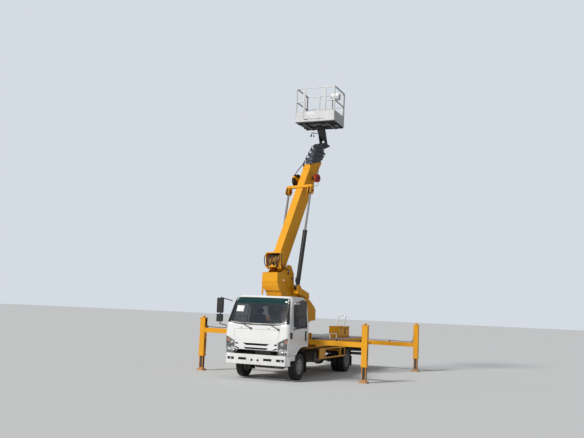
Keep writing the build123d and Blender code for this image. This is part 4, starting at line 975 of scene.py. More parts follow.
# Lift paint. The outriggers, turret and boom are sprayed a warm yellow-orange, faded in clouds and
# streaked with a little dust; the legs are a deeper orange and dustier low down.
LIFT_YELLOW = (0.80, 0.355, 0.002)
lift_paint = painted("lift_paint", LIFT_YELLOW, 0.45, dust=0.15, dust_top=1.1, gloss=0.35)
dressed(["turret", "boom_section_1", "outrigger_frame", "side_guards", "deck_locker"], lift_paint)
leg_paint = painted("leg_paint", (0.70, 0.25, 0.006), 0.5, dust=0.85, dust_top=0.42)
black_paint = painted("black_paint", (0.016, 0.016, 0.018), 0.45, dust=0.25, dust_top=1.0)


# Outriggers. Beams and posts with a wear collar at top and foot, black guide strips down each leg, cups
# on the pads, an amber lamp on each post, and two hydraulic hoses held in clips along each beam.
BEAM_ROWS = (
    # name, side, y, beam's height, foot's x
    ("front_left", 1, 0.700, 1.110, 2.740),
    ("front_right", -1, 0.700, 1.290, 2.740),
    ("rear_left", 1, 6.470, 0.960, 2.950),
    ("rear_right", -1, 6.285, 0.960, 2.950),
)
POST = 0.170
POST_LOW_Z = 0.460
POST_TOP_Z = 1.680
LEG = 0.130
HOSE_R = 0.010
HOUSING_X = 1.000
POST_STRIP = [(-0.028, 0.70), (0.028, 0.70), (0.028, 0.98), (0.014, 1.0), (-0.014, 1.0), (-0.028, 0.98)]
BEAM = 0.150
hose_black = moulded("hose_black", (0.014, 0.014, 0.015), 0.5, 260)
QUARTERS = (0, 90, 180, 270)
dome_glow = Finish("beacon_amber", (0.80, 0.20, 0.006), 0.15)
dome_ribs = dome_glow.axes()[2] * 700
dome_glow.set("Base Color", dome_glow.mix(dome_glow.noise(30, 2), (0.86, 0.24, 0.008), (0.62, 0.12, 0.004)))
dome_glow.set("Emission Color", (0.5, 0.10, 0.0))
dome_glow.set("Roughness", dome_glow.noise(50, 1) * 0.15 + 0.10)
dome_glow.bump(dome_ribs.sum("SINE"), 0.0008)


def turned_about(x, y, turn):
    """A frame on an upright axis at this place, turned about it by this many degrees."""
    return TRUCK @ Matrix.Translation((x, y, 0)) @ Matrix.Rotation(radians(turn), 4, "Z")


for name, side, y, beam_z, foot_x in BEAM_ROWS:
    dressed([f"beam_{name}"], lift_paint)
    dressed([f"jack_{name}"], leg_paint)
    x = side * foot_x
    half = POST / 2
    steel, black, lamp, hoses = bmesh.new(), bmesh.new(), bmesh.new(), bmesh.new()
    for z0, z1 in ((POST_LOW_Z, POST_LOW_Z + 0.05), (POST_TOP_Z - 0.03, POST_TOP_Z)):
        for turn in QUARTERS:
            box(steel, about(0, half + 0.006), (-half - 0.006, -half + 0.001), (z0, z1),
                turned_about(x, y, turn), bevel=0.002)
    for bolt_x in about(x, 0.055):
        for bolt_z in about(beam_z, 0.19):
            bolt(steel, (bolt_x, y - half, bolt_z), (0, -1, 0), 0.018)
            bolt(steel, (bolt_x, y + half, bolt_z), (0, 1, 0), 0.018)
    for bolt_x in about(x, 0.07):
        for bolt_y in about(y, 0.07):
            bolt(steel, (bolt_x, bolt_y, POST_TOP_Z + 0.012), (0, 0, 1), 0.014)
    for turn in (0, 180):
        at = turned_about(x, y, turn)
        plate(black, POST_STRIP, half - 0.001, half + 0.003, at, bevel=0.001)
        patch = [(-0.05, beam_z - 0.13), (0.05, beam_z - 0.13), (0.05, beam_z + 0.13),
                 (-0.05, beam_z + 0.13)]
        plate(steel, patch, half - 0.001, half + 0.006, at, bevel=0.002)
    lathe(lamp, [(0.0, 0.0), (0.040, 0.0), (0.040, 0.030), (0.034, 0.046), (0.020, 0.056), (0.0, 0.059)],
          (x, y, POST_TOP_Z + 0.013), (0, 0, 1), steps=36)
    lathe(black, [(0.0395, 0.0), (0.047, 0.0), (0.047, 0.012), (0.0395, 0.012)],
          (x, y, POST_TOP_Z + 0.012), (0, 0, 1), steps=36)
    top = beam_z + BEAM / 2
    inner_x, outer_x = HOUSING_X + 0.12, foot_x - half
    clips = [inner_x + (outer_x - 0.06 - inner_x) * share for share in (0, 0.5, 1)]
    route = [(inner_x - 0.06, 0.0), (inner_x - 0.05, 0.03)]
    for start, end in zip(clips, clips[1:]):
        run = end - start
        route += [(start, 0.048), (start + run * 0.25, 0.034), (start + run * 0.5, 0.027),
                  (start + run * 0.75, 0.034)]
    route += [(clips[-1], 0.048), (outer_x - 0.02, 0.075), (outer_x - 0.012, 0.20), (outer_x - 0.010, 0.30),
              (outer_x + 0.004, 0.31)]
    for hose_y in about(y, 0.024):
        hose(hoses, [(side * along_x, hose_y, top + raised_by) for along_x, raised_by in route], HOSE_R)
    for clip_x in clips:
        box(hoses, about(side * clip_x, 0.012), about(y, 0.045), (top - 0.001, top + 0.036), bevel=0.003)
    body = f"beam_{name}"
    piece(f"post_collars_{name}", steel, lift_paint, body)
    piece(f"post_fittings_{name}", black, black_paint, body)
    piece(f"beacon_{name}", lamp, dome_glow.material, body)
    clipped = piece(f"beam_hoses_{name}", hoses, hose_black, body)
    tuple(TRUCK @ Vector((side * (outer_x + 0.003), y, top)))
    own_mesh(clipped)
    strips = bmesh.new()
    for turn in QUARTERS:
        box(strips, about(0, 0.043), (-LEG / 2 - 0.003, -LEG / 2 + 0.001), (0.10, 1.20),
            turned_about(x, y, turn), bevel=0.001)
    piece(f"leg_strips_{name}", strips, black_paint, f"jack_{name}")
    foot = bmesh.new()
    lathe(foot, [(0.052, 0.045), (0.086, 0.045), (0.080, 0.051), (0.060, 0.056), (0.052, 0.056)],
          (x, y, 0), (0, 0, 1), steps=40)
    for turn in (45, 135, 225, 315):
        spot = Matrix.Rotation(radians(turn), 4, "Z") @ Vector((0.115, 0, 0))
        bolt(foot, (x + spot.x, y + spot.y, 0.045), (0, 0, 1), 0.016)
    piece(f"foot_cup_{name}", foot, leg_paint, f"jack_{name}")


# Deck. Worn five-bar tread plate, with red and white warning tape on its edges, a painted tool locker
# with rubber beads and a ring on it, the white hoop of the ladder and a low white rail.
DECK_HALF = 1.120
DECK_TOP_Z = 1.170
DECK_Y = (0.960, 6.130)
tread = Finish("tread_plate", (0.42, 0.43, 0.44), 0.46, 0.35)
across, along = tread.axes()[:2]
bars = ((across + along) * 105).sum("SINE") * ((across - along) * 36).sum("SINE")
stains = tread.noise(2.2, 5)
foot_dirt = tread.ramp(stains, 0.45, 0.72) * 0.55
raised = tread.ramp(bars.size(), 0.45, 0.62)
tread.set("Base Color", tread.mix(foot_dirt, tread.mix(raised, (0.36, 0.37, 0.38), (0.50, 0.51, 0.52)),
                                  (0.16, 0.14, 0.12)))
tread.set("Roughness", foot_dirt * 0.5 + 0.46)
tread.set("Metallic", 0.55 - foot_dirt * 0.8)
tread.bump(raised, 0.003)
dressed(["deck"], tread.material)

red_tape = painted("tape_red", (0.55, 0.012, 0.014), 0.4, dust=0.3)
white_tape = painted("tape_white", (0.74, 0.74, 0.75), 0.4, dust=0.3)
TAPE_DASH = 0.15
TAPE_END = 0.02
TAPE_THICK = 0.0012
red_dashes, white_dashes = bmesh.new(), bmesh.new()
for side in (1, -1):
    for n in range(int((DECK_Y[1] - DECK_Y[0] - 2 * TAPE_END) / TAPE_DASH)):
        y = DECK_Y[0] + TAPE_END + n * TAPE_DASH
        box(white_dashes if n % 2 else red_dashes, sided(side, DECK_HALF, DECK_HALF + TAPE_THICK),
            (y + 0.001, y + TAPE_DASH - 0.001), (DECK_TOP_Z - 0.027, DECK_TOP_Z + 0.009))
piece("deck_tape_red", red_dashes, red_tape, "chassis")
piece("deck_tape_white", white_dashes, white_tape, "chassis")

white_steel = painted("white_steel", (0.86, 0.87, 0.88), 0.3, dust=0.05, coat=0.3)
dressed(["deck_ladder", "deck_rail"], white_steel)
LOCKER_X = (0.600, 0.960)
LOCKER_Y = (3.500, 4.620)
LOCKER_TOP_Z = DECK_TOP_Z + 0.370
LOCKER_RING_Y, LOCKER_RING_Z = 4.14, 1.40
locker_black, locker_bolts = bmesh.new(), bmesh.new()
turns = [radians(30 * n) for n in range(12)]
hose(locker_black,
     [(LOCKER_X[1] + 0.006, LOCKER_RING_Y + 0.082 * cos(turn), LOCKER_RING_Z + 0.095 * sin(turn))
      for turn in turns], 0.009, closed=True)
for x in (LOCKER_X[0] - 0.002, LOCKER_X[1] + 0.002):
    hose(locker_black, [(x, y, LOCKER_TOP_Z - 0.004) for y in (LOCKER_Y[0], 3.9, 4.2, LOCKER_Y[1])], 0.004)
for y in (LOCKER_Y[0] + 0.25, LOCKER_Y[1] - 0.25):
    box(locker_black, (LOCKER_X[1] + 0.010, LOCKER_X[1] + 0.020), about(y, 0.022),
        (LOCKER_TOP_Z - 0.082, LOCKER_TOP_Z - 0.012), bevel=0.004)
    hinge_x = LOCKER_X[0] - 0.016
    rod(locker_bolts, (hinge_x, y - 0.06, LOCKER_TOP_Z), (hinge_x, y + 0.06, LOCKER_TOP_Z), 0.009)
    for bolt_y in about(y, 0.045):
        bolt(locker_bolts, (LOCKER_X[0] - 0.0005, bolt_y, LOCKER_TOP_Z - 0.03), (-1, 0, 0), 0.012)
for y in (LOCKER_Y[0] + 0.05, LOCKER_Y[1] - 0.05):
    for x, out in zip(LOCKER_X, (-0.02, 0.02)):
        box(locker_bolts, sorted((x, x + out)), about(y, 0.02), (DECK_TOP_Z, DECK_TOP_Z + 0.004),
            bevel=0.001)
        bolt(locker_bolts, (x + out * 0.5, y, DECK_TOP_Z + 0.004), (0, 0, 1), 0.012)
piece("locker_trim", locker_black, black_plastic, "chassis")
piece("locker_hinges", locker_bolts, nut_steel.material, "chassis")

DECK_SCREWS_Y = (2.35, 2.90, 3.60, 4.75, 5.65)
DECK_SCREWS_X = (-1.06, -0.80, -0.40, 0.40, 1.06)
deck_bolts = bmesh.new()
for y in DECK_SCREWS_Y:
    for x in DECK_SCREWS_X:
        rod(deck_bolts, (x, y, DECK_TOP_Z), (x, y, DECK_TOP_Z + 0.004), 0.012, tip=0.006, sides=16)
for side in (1, -1):
    for n in range(9):
        for y in about(1.19 + 0.6 * n, 0.04):
            bolt(deck_bolts, (side * DECK_HALF, y, 1.06), (side, 0, 0), 0.016)
piece("deck_bolts", deck_bolts, nut_steel.material, "chassis")


# Tank and battery box. A black painted fuel tank held by two straps over rubber, with a filler cap,
# and a battery box with a clipped lid on the other side; side guards bolt to their brackets.
dressed(["side_tanks"], painted("tank_black", (0.024, 0.024, 0.026), 0.4, dust=0.7, dust_top=1.0))


def rounded(x0, x1, z0, z1, radius):
    """Corner points of a rectangle with round corners, as (-x, z) for a plate that faces forward."""
    points = []
    for cx, cz, first in ((x1 - radius, z1 - radius, 0), (x0 + radius, z1 - radius, 90),
                          (x0 + radius, z0 + radius, 180), (x1 - radius, z0 + radius, 270)):
        for step in range(7):
            turn = radians(first + 15 * step)
            points.append((-(cx + radius * cos(turn)), cz + radius * sin(turn)))
    return points


STRAPS_Y = (1.26, 1.60)
STRAP_END_X = 0.99
FILLER = (0.80, 1.72, 0.828)
BATTERY_CLIPS_Y = (1.25, 1.57)
straps, strap_rubber = bmesh.new(), bmesh.new()
for y in STRAPS_Y:
    plate(strap_rubber, rounded(0.4985, 0.9865, 0.4685, 0.8315, 0.071), y - 0.024, y + 0.024, ACROSS)
    plate(straps, rounded(0.497, 0.988, 0.467, 0.833, 0.072), y - 0.016, y + 0.016, ACROSS, bevel=0.001)
    rod(straps, (STRAP_END_X, y, 0.64), (STRAP_END_X, y, 0.70), 0.007, sides=12)
rod(straps, FILLER, (*FILLER[:2], 0.862), 0.045)
lathe(straps, [(0.0, 0.030), (0.052, 0.030), (0.056, 0.044), (0.050, 0.054), (0.0, 0.054)],
      FILLER, (0, 0, 1))
box(straps, (-0.965, -0.495), (1.115, 1.705), (0.846, 0.868), bevel=0.004)
for y in BATTERY_CLIPS_Y:
    box(straps, (-0.972, -0.960), about(y, 0.02), (0.78, 0.86), bevel=0.003)
piece("tank_straps", straps, nut_steel.material, "chassis")
piece("strap_rubbers", strap_rubber, rubber_seal, "chassis")

GUARD_OUT = 1.090
GUARD_RAILS_Z = (0.582, 0.868)
GUARD_BRACKETS_Y = (1.34, 1.74, 1.92, 3.32, 3.40, 3.80)
guard_bolts = bmesh.new()
for side in (1, -1):
    for y in GUARD_BRACKETS_Y:
        for z in GUARD_RAILS_Z:
            bolt(guard_bolts, (side * GUARD_OUT, y, z), (side, 0, 0), 0.014)
piece("guard_bolts", guard_bolts, nut_steel.material, "chassis")


# Slewing ring and turret. A toothed ring on the pedestal, bolted all round, driven by a motor between
# the cheeks; hoses rise between them to the boom's root and hang from the valves on the left cheek.
SLEW_Y = 1.700
SLEW_REST = radians(15)
RING_R = 0.380
RING_Z = 1.400
RING_BOLTS_R = 0.402
TURRET_BOLTS_R = 0.378
TURRET_FLOOR_Z = 1.490
CHEEK_WELD = (0.26, 0.325)
RING_BOLT = 0.018
PIVOT = (-0.780, 3.280)
CHEEK_X = 0.300
TURRET = TRUCK @ Matrix.Translation((0, SLEW_Y, 0)) @ Matrix.Rotation(-SLEW_REST, 4, "Z")
teeth, ring_bolts = bmesh.new(), bmesh.new()
TEETH = 90
for n in range(TEETH):
    tooth = [(-0.008, RING_Z + 0.006), (0.008, RING_Z + 0.006), (0.008, RING_Z + 0.040),
             (-0.008, RING_Z + 0.040)]
    plate(teeth, tooth, RING_R - 0.002, RING_R + 0.012, turned_about(0, SLEW_Y, 360 * n / TEETH),
          bevel=0.002)
for n in range(24):
    turn = radians(15 * n + 7)
    bolt(teeth, (RING_BOLTS_R * cos(turn), SLEW_Y + RING_BOLTS_R * sin(turn), RING_Z), (0, 0, 1), RING_BOLT)
    spot = (TURRET_BOLTS_R * cos(turn), TURRET_BOLTS_R * sin(turn), TURRET_FLOOR_Z)
    if not CHEEK_WELD[0] <= abs(spot[0]) <= CHEEK_WELD[1]:
        bolt(ring_bolts, spot, (0, 0, 1), RING_BOLT, TURRET)
piece("ring_teeth", teeth, nut_steel.material, "chassis")
piece("ring_bolts", ring_bolts, nut_steel.material, "turret")

MOTOR = (0, 0.20, 0)
motor, valves, steel, hoses = bmesh.new(), bmesh.new(), bmesh.new(), bmesh.new()
lathe(motor, [(0.0, 1.49), (0.115, 1.49), (0.115, 1.515), (0.085, 1.53), (0.085, 1.555), (0.0, 1.555)],
      MOTOR, (0, 0, 1), TURRET)
lathe(motor, [(0.0, 1.576), (0.085, 1.576), (0.085, 1.70), (0.060, 1.72), (0.060, 1.86), (0.050, 1.875),
              (0.0, 1.875)], MOTOR, (0, 0, 1), TURRET)
piece("slewing_motor", motor, black_paint, "turret")

VALVE_X = CHEEK_X + 0.045
box(valves, (CHEEK_X - 0.001, CHEEK_X + 0.085), (-0.25, 0.06), (2.28, 2.40), TURRET, bevel=0.004)
for n in range(5):
    y = -0.225 + 0.062 * n
    rod(valves, (VALVE_X, y, 2.39), (VALVE_X, y, 2.455), 0.016, TURRET)
    rod(valves, (VALVE_X, y, 2.45), (VALVE_X, y, 2.53), 0.005, TURRET, sides=10)
    rod(valves, (VALVE_X, y, 2.525), (VALVE_X, y, 2.55), 0.012, TURRET, tip=0.008)
    hose(hoses, [(CHEEK_X + 0.055, y, 2.285), (CHEEK_X + 0.057, y - 0.01, 2.20),
                 (CHEEK_X + 0.055 - 0.004 * n, y + 0.03, 2.02), (CHEEK_X + 0.03, 0.10 + 0.03 * n, 1.80),
                 (CHEEK_X + 0.016, 0.06 + 0.03 * n, 1.62)], 0.009, TURRET)
SLOT_BACK = [(-0.900, 2.990), (-0.440, 2.580), (-0.440, 2.460), (-0.570, 2.460), (-1.000, 2.860)]
CHEEK_BOLTS = ((-1.20, 2.98), (-1.20, 2.85), (-1.05, 2.72), (-0.50, 2.40), (0.30, 2.33), (0.66, 2.05),
               (0.72, 1.86))
for side in (1, -1):
    plate(steel, SLOT_BACK, side * (CHEEK_X - 0.020), side * (CHEEK_X - 0.016), TURRET)
    lathe(valves, [(0.0, 0.300), (0.036, 0.300), (0.036, 0.3025), (0.0, 0.3025)], (0, -0.56, 3.04),
          (side, 0, 0), TURRET)
    box(valves, sided(side, 0.317, 0.326), about(PIVOT[0], 0.035), (PIVOT[1] - 0.125, PIVOT[1] - 0.055),
        TURRET, bevel=0.002)
    for y in about(PIVOT[0], 0.02):
        bolt(valves, (side * 0.326, y, PIVOT[1] - 0.09), (side, 0, 0), 0.014, TURRET)
    for y, z in CHEEK_BOLTS:
        bolt(steel, (side * CHEEK_X, y, z), (side, 0, 0), 0.020, TURRET)
piece("turret_valves", valves, black_paint, "turret")
BAR_X, BAR_Y = -CHEEK_X - 0.05, -1.24
hose(steel, [(-CHEEK_X, BAR_Y, 2.50), (BAR_X + 0.01, BAR_Y, 2.50), (BAR_X, BAR_Y, 2.52),
             (BAR_X, BAR_Y, 2.9), (BAR_X, BAR_Y, 3.13), (BAR_X + 0.01, BAR_Y, 3.15),
             (-CHEEK_X, BAR_Y, 3.15)], 0.013, TURRET, sides=4)
piece("turret_fittings", steel, lift_paint, "turret")
for n in range(6):
    x = -0.19 + 0.076 * n
    hose(hoses, [(x * 0.5, 0.05, 1.60), (x, -0.12, 1.82), (x, -0.40, 2.05), (x, -0.72, 2.45),
                 (x * 1.1, -1.02, 2.80), (x * 1.1, -1.17, 3.02), (x * 1.05, -1.10, 3.16)], 0.011, TURRET)
piece("turret_hoses", hoses, hose_black, "turret")


# Boom. The base section is lift colour and the drawn-in sections are slate grey. Each end collar has
# black slide blocks, bolted wear pads, rollers at its top corners and a bent hose on its right.
BOOM_REST = radians(65)
BOOM = TURRET @ Matrix.Translation((0, *PIVOT)) @ Matrix.Rotation(BOOM_REST, 4, "X")
BOOM_HALF, BOOM_TOP, BOOM_LOW, BOOM_STEP = 0.140, 0.440, -0.020, 0.018
COLLAR, BASE_COLLAR = 0.026, 0.008
ROLLER = [(0.0, -0.014), (0.022, -0.014), (0.030, -0.010), (0.024, 0.0), (0.030, 0.010), (0.022, 0.014),
          (0.0, 0.014)]
SECTION_ENDS = (
    # end of the top, how much further the bottom reaches, collar's length
    (3.850, 0.420, 0.200),
    (4.130, 0.360, 0.130),
    (4.350, 0.290, 0.120),
    (4.550, 0.210, 0.110),
    (4.720, 0.140, 0.085),
)
slate = painted("boom_slate", (0.050, 0.062, 0.085), 0.42, dust=0.1, coat=0.1)
dressed([f"boom_section_{n}" for n in (2, 3, 4, 5)], slate)
for n, (end, rake, collar_l) in enumerate(SECTION_ENDS):
    half, top, low = BOOM_HALF - n * BOOM_STEP, BOOM_TOP - n * BOOM_STEP, BOOM_LOW + n * BOOM_STEP
    collar = COLLAR if n else BASE_COLLAR
    face, lid = half + collar, top + collar
    roller_y, roller_z = end - 0.035, lid + 0.020
    blocks = bmesh.new()
    for side in (1, -1):
        box(blocks, sided(side, half - 0.055, half - 0.012), (end - 0.02, end + 0.016),
            (top - 0.030, top + 0.004), BOOM, bevel=0.003)
        if n < len(SECTION_ENDS) - 1:
            lathe(blocks, ROLLER, (side * (face - 0.012), roller_y, roller_z), (1, 0, 0), BOOM, steps=28)
            box(blocks, sided(side, face - 0.030, face - 0.026), (end - 0.060, end - 0.012),
                (lid - 0.002, lid + 0.034), BOOM, bevel=0.001)
            rod(blocks, (side * (face - 0.034), roller_y, roller_z),
                (side * (face + 0.006), roller_y, roller_z), 0.008, BOOM, sides=12)
        for share in (0.25, 0.75):
            y, z = end + rake * share - collar_l * 0.5, top + (low - top) * share
            bolt(blocks, (side * face, y, z), (side, 0, 0), 0.018, BOOM)
            bolt(blocks, (side * face, y + collar_l * 0.32, z), (side, 0, 0), 0.018, BOOM)
    guide = -face + 0.004
    if n < len(SECTION_ENDS) - 1:
        hose(blocks, [(guide, end - 0.10, lid - 0.03), (guide, end - 0.085, lid + 0.01),
                      (guide, end - 0.03, lid + 0.026),
                      (guide + 0.002, end + 0.06, lid + 0.016), (guide + 0.010, end + 0.13, top - 0.002),
                      (guide + 0.022, end + 0.15, top - 0.03)], 0.013, BOOM)
    for x in about(0, half * 0.45):
        bolt(blocks, (x, end - collar_l * 0.3, lid), (0, 0, 1), 0.016, BOOM)
        bolt(blocks, (x, end - collar_l * 0.75, lid), (0, 0, 1), 0.016, BOOM)
    piece(f"collar_fittings_{n + 1}", blocks, black_paint, f"boom_{n + 1}" if n else "boom")


# Boom's foot. Hoses come up through the open root housing, round the pivot and into the base section,
# held in clips; the pivot pin's ends and the bolts beside it are bare steel.
root_hoses, root_steel = bmesh.new(), bmesh.new()
for n in range(8):
    x = -0.21 + 0.06 * n
    bend = 0.02 * (n % 3)
    hose(root_hoses, [(x, -0.10, 0.38 + bend), (x * 1.05, 0.00, 0.46 + bend), (x * 1.1, 0.14, 0.52 - bend),
                      (x, 0.27, 0.50 + bend), (x * 0.9, 0.36, 0.43), (x * 0.85, 0.43, 0.40)], 0.017, BOOM)
for side in (1, -1):
    hose(root_hoses, [(side * 0.24, 0.34, 0.54), (side * 0.325, 0.30, 0.575), (side * 0.345, 0.12, 0.53),
                      (side * 0.335, -0.02, 0.42), (side * 0.325, -0.06, 0.26), (side * 0.325, -0.01, 0.12),
                      (side * 0.323, 0.0, 0.03)], 0.014, BOOM)
    lathe(root_steel, [(0.0, 0.318), (0.044, 0.318), (0.044, 0.341), (0.038, 0.345), (0.0, 0.345)],
          (0, 0, 0), (side, 0, 0), BOOM)
    for y, z in ((0.26, 0.56), (0.32, 0.40), (0.41, 0.40), (-0.05, 0.40)):
        bolt(root_steel, (side * 0.300, y, z), (side, 0, 0), 0.016, BOOM)
for x in (-0.12, 0.0, 0.12):
    box(root_hoses, about(x, 0.03), (0.12, 0.16), (0.365, 0.43), BOOM, bevel=0.006)
piece("root_hoses", root_hoses, hose_black, "boom")
piece("root_steel", root_steel, nut_steel.material, "boom")


# Reels on the base section. A black hose reel on the truck's right, its hose running up the boom to the
# head, and a small red cable reel on the left with a loop of cable to its guide.
HOSE_REEL = (3.260, 0.346)
HOSE_REEL_OUTER = 0.218
CABLE_REEL = (3.465, 0.130)


def coil(form, reel, first_x, pitch, turns, inner, outer):
    """Add the turns of a hose or cable that lie side by side on a reel."""
    turn = [(inner, 0.002), (outer - 0.004, 0.002), (outer, 0.007), (outer - 0.004, 0.012), (inner, 0.012)]
    for n in range(turns):
        lathe(form, turn, (first_x + pitch * n, *reel), (1, 0, 0), BOOM)


def beside(reel, points):
    """Points given from a reel's middle, as places on the boom."""
    return [(x, reel[0] + y, reel[1] + z) for x, y, z in points]


reel_hose, reel_steel, reel_red, reel_black = bmesh.new(), bmesh.new(), bmesh.new(), bmesh.new()
coil(reel_hose, HOSE_REEL, -0.345, 0.0145, 6, 0.196, 0.209)
for x in (-0.354, -0.255):
    lathe(reel_hose, [(0.05, -0.002), (HOSE_REEL_OUTER, -0.002), (HOSE_REEL_OUTER + 0.003, 0.001),
                      (HOSE_REEL_OUTER, 0.004), (0.05, 0.004)], (x, *HOSE_REEL), (1, 0, 0), BOOM, steps=60)
lathe(reel_hose, [(0.0, -0.030), (0.055, -0.030), (0.062, -0.024), (0.062, 0.0), (0.0, 0.0)],
      (-0.354, *HOSE_REEL), (1, 0, 0), BOOM)
for n in range(5):
    turn = radians(72 * n)
    spoke = beside(HOSE_REEL, [(-0.360, reach * cos(turn), reach * sin(turn)) for reach in (0.06, 0.19)])
    rod(reel_hose, *spoke, 0.010, BOOM, sides=10)
to_head = beside(HOSE_REEL, [(-0.30, -0.02, 0.208), (-0.30, 0.14, 0.200), (-0.275, 0.34, 0.155),
                             (-0.20, 0.50, 0.144)])
hose(reel_hose, to_head + [(-0.158, 3.84, 0.485), (-0.156, 4.00, 0.478)], 0.015, BOOM)
box(reel_steel, (-0.262, -0.139), about(HOSE_REEL[0], 0.11), (0.30, 0.315), BOOM, bevel=0.003)
plate(reel_steel, [(HOSE_REEL[0] - 0.10, 0.31), (HOSE_REEL[0] + 0.10, 0.31), (HOSE_REEL[0] + 0.03, 0.50),
                   (HOSE_REEL[0] - 0.03, 0.50)], -0.247, -0.235, BOOM, bevel=0.002)
box(reel_steel, (-0.33, -0.24), about(HOSE_REEL[0], 0.035), (0.585, 0.597), BOOM, bevel=0.003)
box(reel_steel, (-0.252, -0.240), about(HOSE_REEL[0], 0.035), (0.49, 0.597), BOOM, bevel=0.003)
coil(reel_red, CABLE_REEL, 0.290, 0.0142, 5, 0.121, 0.132)
for x in (0.285, 0.363):
    lathe(reel_red, [(0.045, -0.002), (0.138, -0.002), (0.140, 0.001), (0.138, 0.004), (0.045, 0.004)],
          (x, *CABLE_REEL), (1, 0, 0), BOOM, steps=48)
lathe(reel_black, [(0.0, 0.0), (0.050, 0.0), (0.046, 0.026), (0.034, 0.034), (0.0, 0.034)],
      (0.366, *CABLE_REEL), (1, 0, 0), BOOM)
box(reel_black, (0.141, 0.286), about(CABLE_REEL[0], 0.03), about(CABLE_REEL[1], 0.05), BOOM, bevel=0.006)
to_guide = beside(CABLE_REEL, [(0.33, -0.02, 0.13), (0.33, 0.12, 0.10), (0.31, 0.24, -0.01)])
hose(reel_black, to_guide + [(0.22, 3.83, 0.10), (0.168, 3.98, 0.09)], 0.007, BOOM)
loop = [(0.372, -0.03, -0.02), (0.385, -0.14, -0.06), (0.385, -0.24, -0.10), (0.36, -0.30, -0.02),
        (0.25, -0.26, 0.06), (0.145, -0.22, 0.08)]
hose(reel_black, beside(CABLE_REEL, loop), 0.006, BOOM)
piece("hose_reel", reel_hose, hose_black, "boom")
piece("hose_reel_bracket", reel_steel, lift_paint, "boom")
red_plastic = moulded("reel_red", (0.42, 0.010, 0.020), 0.4, 500)
piece("cable_reel", reel_red, red_plastic, "boom")
piece("cable_reel_hub", reel_black, black_plastic, "boom")


# Luffing cylinders. Black barrels with a gland nut, a feed pipe and a lock valve each, chromed rods
# with painted eyes, and dark pin heads with keeper bolts on the crossbar's forks.
CYL = TURRET @ Matrix.Translation((0, -0.460, 2.768)) @ Matrix.Rotation(radians(80.75), 4, "X")
CYL_X = 0.450
BARREL_R, BARREL_L, ROD_R, EYE_R = 0.072, 1.880, 0.036, 0.066
CYL_LENGTH = 3.2404
ROD_PIN = (2.790, 0.373)
dressed(["luff_barrels"], black_paint)
chrome = Finish("rod_chrome", (0.72, 0.73, 0.75), 0.12, 1.0)
oil = chrome.noise(8, 4, (1, 1, 0.2))
chrome.set("Base Color", chrome.mix(oil, (0.76, 0.77, 0.79), (0.58, 0.58, 0.58)))
chrome.set("Roughness", oil * 0.18 + 0.06)
chrome.bump(chrome.noise(300, 2), 0.0001)
dressed(["luff_rods"], chrome.material)
GLAND = [(ROD_R + 0.002, -0.01), (BARREL_R + 0.001, -0.01), (BARREL_R + 0.005, -0.005),
         (BARREL_R + 0.005, 0.035), (BARREL_R - 0.004, 0.045), (ROD_R + 0.010, 0.045),
         (ROD_R + 0.004, 0.055), (ROD_R + 0.002, 0.055)]
EYE_COLLAR = [(ROD_R + 0.0005, 0.0), (ROD_R + 0.014, 0.0), (ROD_R + 0.020, 0.012), (ROD_R + 0.020, 0.040),
              (ROD_R + 0.0005, 0.040)]
PIPE_END_Y = BARREL_L - 0.10
glands, pins, eyes = bmesh.new(), bmesh.new(), bmesh.new()
for x in (CYL_X, -CYL_X):
    lathe(glands, GLAND, (x, BARREL_L - 0.035, 0), (0, 1, 0), CYL)
    box(glands, about(x, 0.03), (0.16, 0.30), (BARREL_R - 0.01, BARREL_R + 0.045), CYL, bevel=0.005)
    rod(glands, (x, 0.29, BARREL_R + 0.02), (x, PIPE_END_Y, BARREL_R + 0.02), 0.009, CYL, sides=12)
    rod(glands, (x, PIPE_END_Y, BARREL_R + 0.026), (x, PIPE_END_Y, BARREL_R - 0.01), 0.016, CYL, sides=16)
    for y in (0.70, 1.25):
        box(glands, about(x, 0.016), about(y, 0.01), (BARREL_R - 0.004, BARREL_R + 0.031), CYL, bevel=0.003)
    lathe(eyes, [(0.030, -0.0375), (EYE_R + 0.0015, -0.0375), (EYE_R + 0.0015, 0.0375), (0.030, 0.0375)],
          (x, CYL_LENGTH, 0), (1, 0, 0), CYL, steps=40)
    lathe(eyes, EYE_COLLAR, (x, CYL_LENGTH - EYE_R - 0.034, 0), (0, 1, 0), CYL)
    for start, end in ((x - 0.072, x - 0.064), (x + 0.064, x + 0.072)):
        rod(pins, (start, *ROD_PIN), (end, *ROD_PIN), 0.034, BOOM)
    for out in (0.072, -0.072):
        for offset in (0.012, -0.012):
            bolt(pins, (x + out, ROD_PIN[0] + offset, ROD_PIN[1] + offset), (out, 0, 0), 0.012, BOOM)
piece("cylinder_fittings", glands, black_paint, "barrels")
piece("rod_eyes", eyes, black_paint, "rods")
piece("fork_pins", pins, black_paint, "boom")


# Boom's head. Hoses come out of the last section's top and pass down inside its fork, and three more
# loop below it; the head plates carry guide rollers and a sheave on cross pins.
HEAD_HALF = BOOM_HALF - 4 * BOOM_STEP
HEAD_PINS = (
    # place along the boom, height, the roller's outline
    (4.745, 0.335, [(0.0, 0.0), (0.020, 0.0), (0.030, 0.003), (0.030, 0.012), (0.020, 0.016),
                    (0.0, 0.016)]),
    (5.075, -0.195, [(0.0, 0.0), (0.020, 0.0), (0.028, 0.003), (0.028, 0.012), (0.020, 0.016),
                     (0.0, 0.016)]),
)
head, head_hoses = bmesh.new(), bmesh.new()
for x in (-0.050, -0.018, 0.014, 0.046):
    hose(head_hoses, [(x, 4.60, 0.392), (x, 4.66, 0.408), (x * 1.1, 4.73, 0.388), (x * 1.1, 4.80, 0.310),
                      (x * 1.1, 4.85, 0.235), (x, 4.89, 0.165), (x, 4.91, 0.090), (x, 4.92, 0.020)],
         0.011, BOOM)
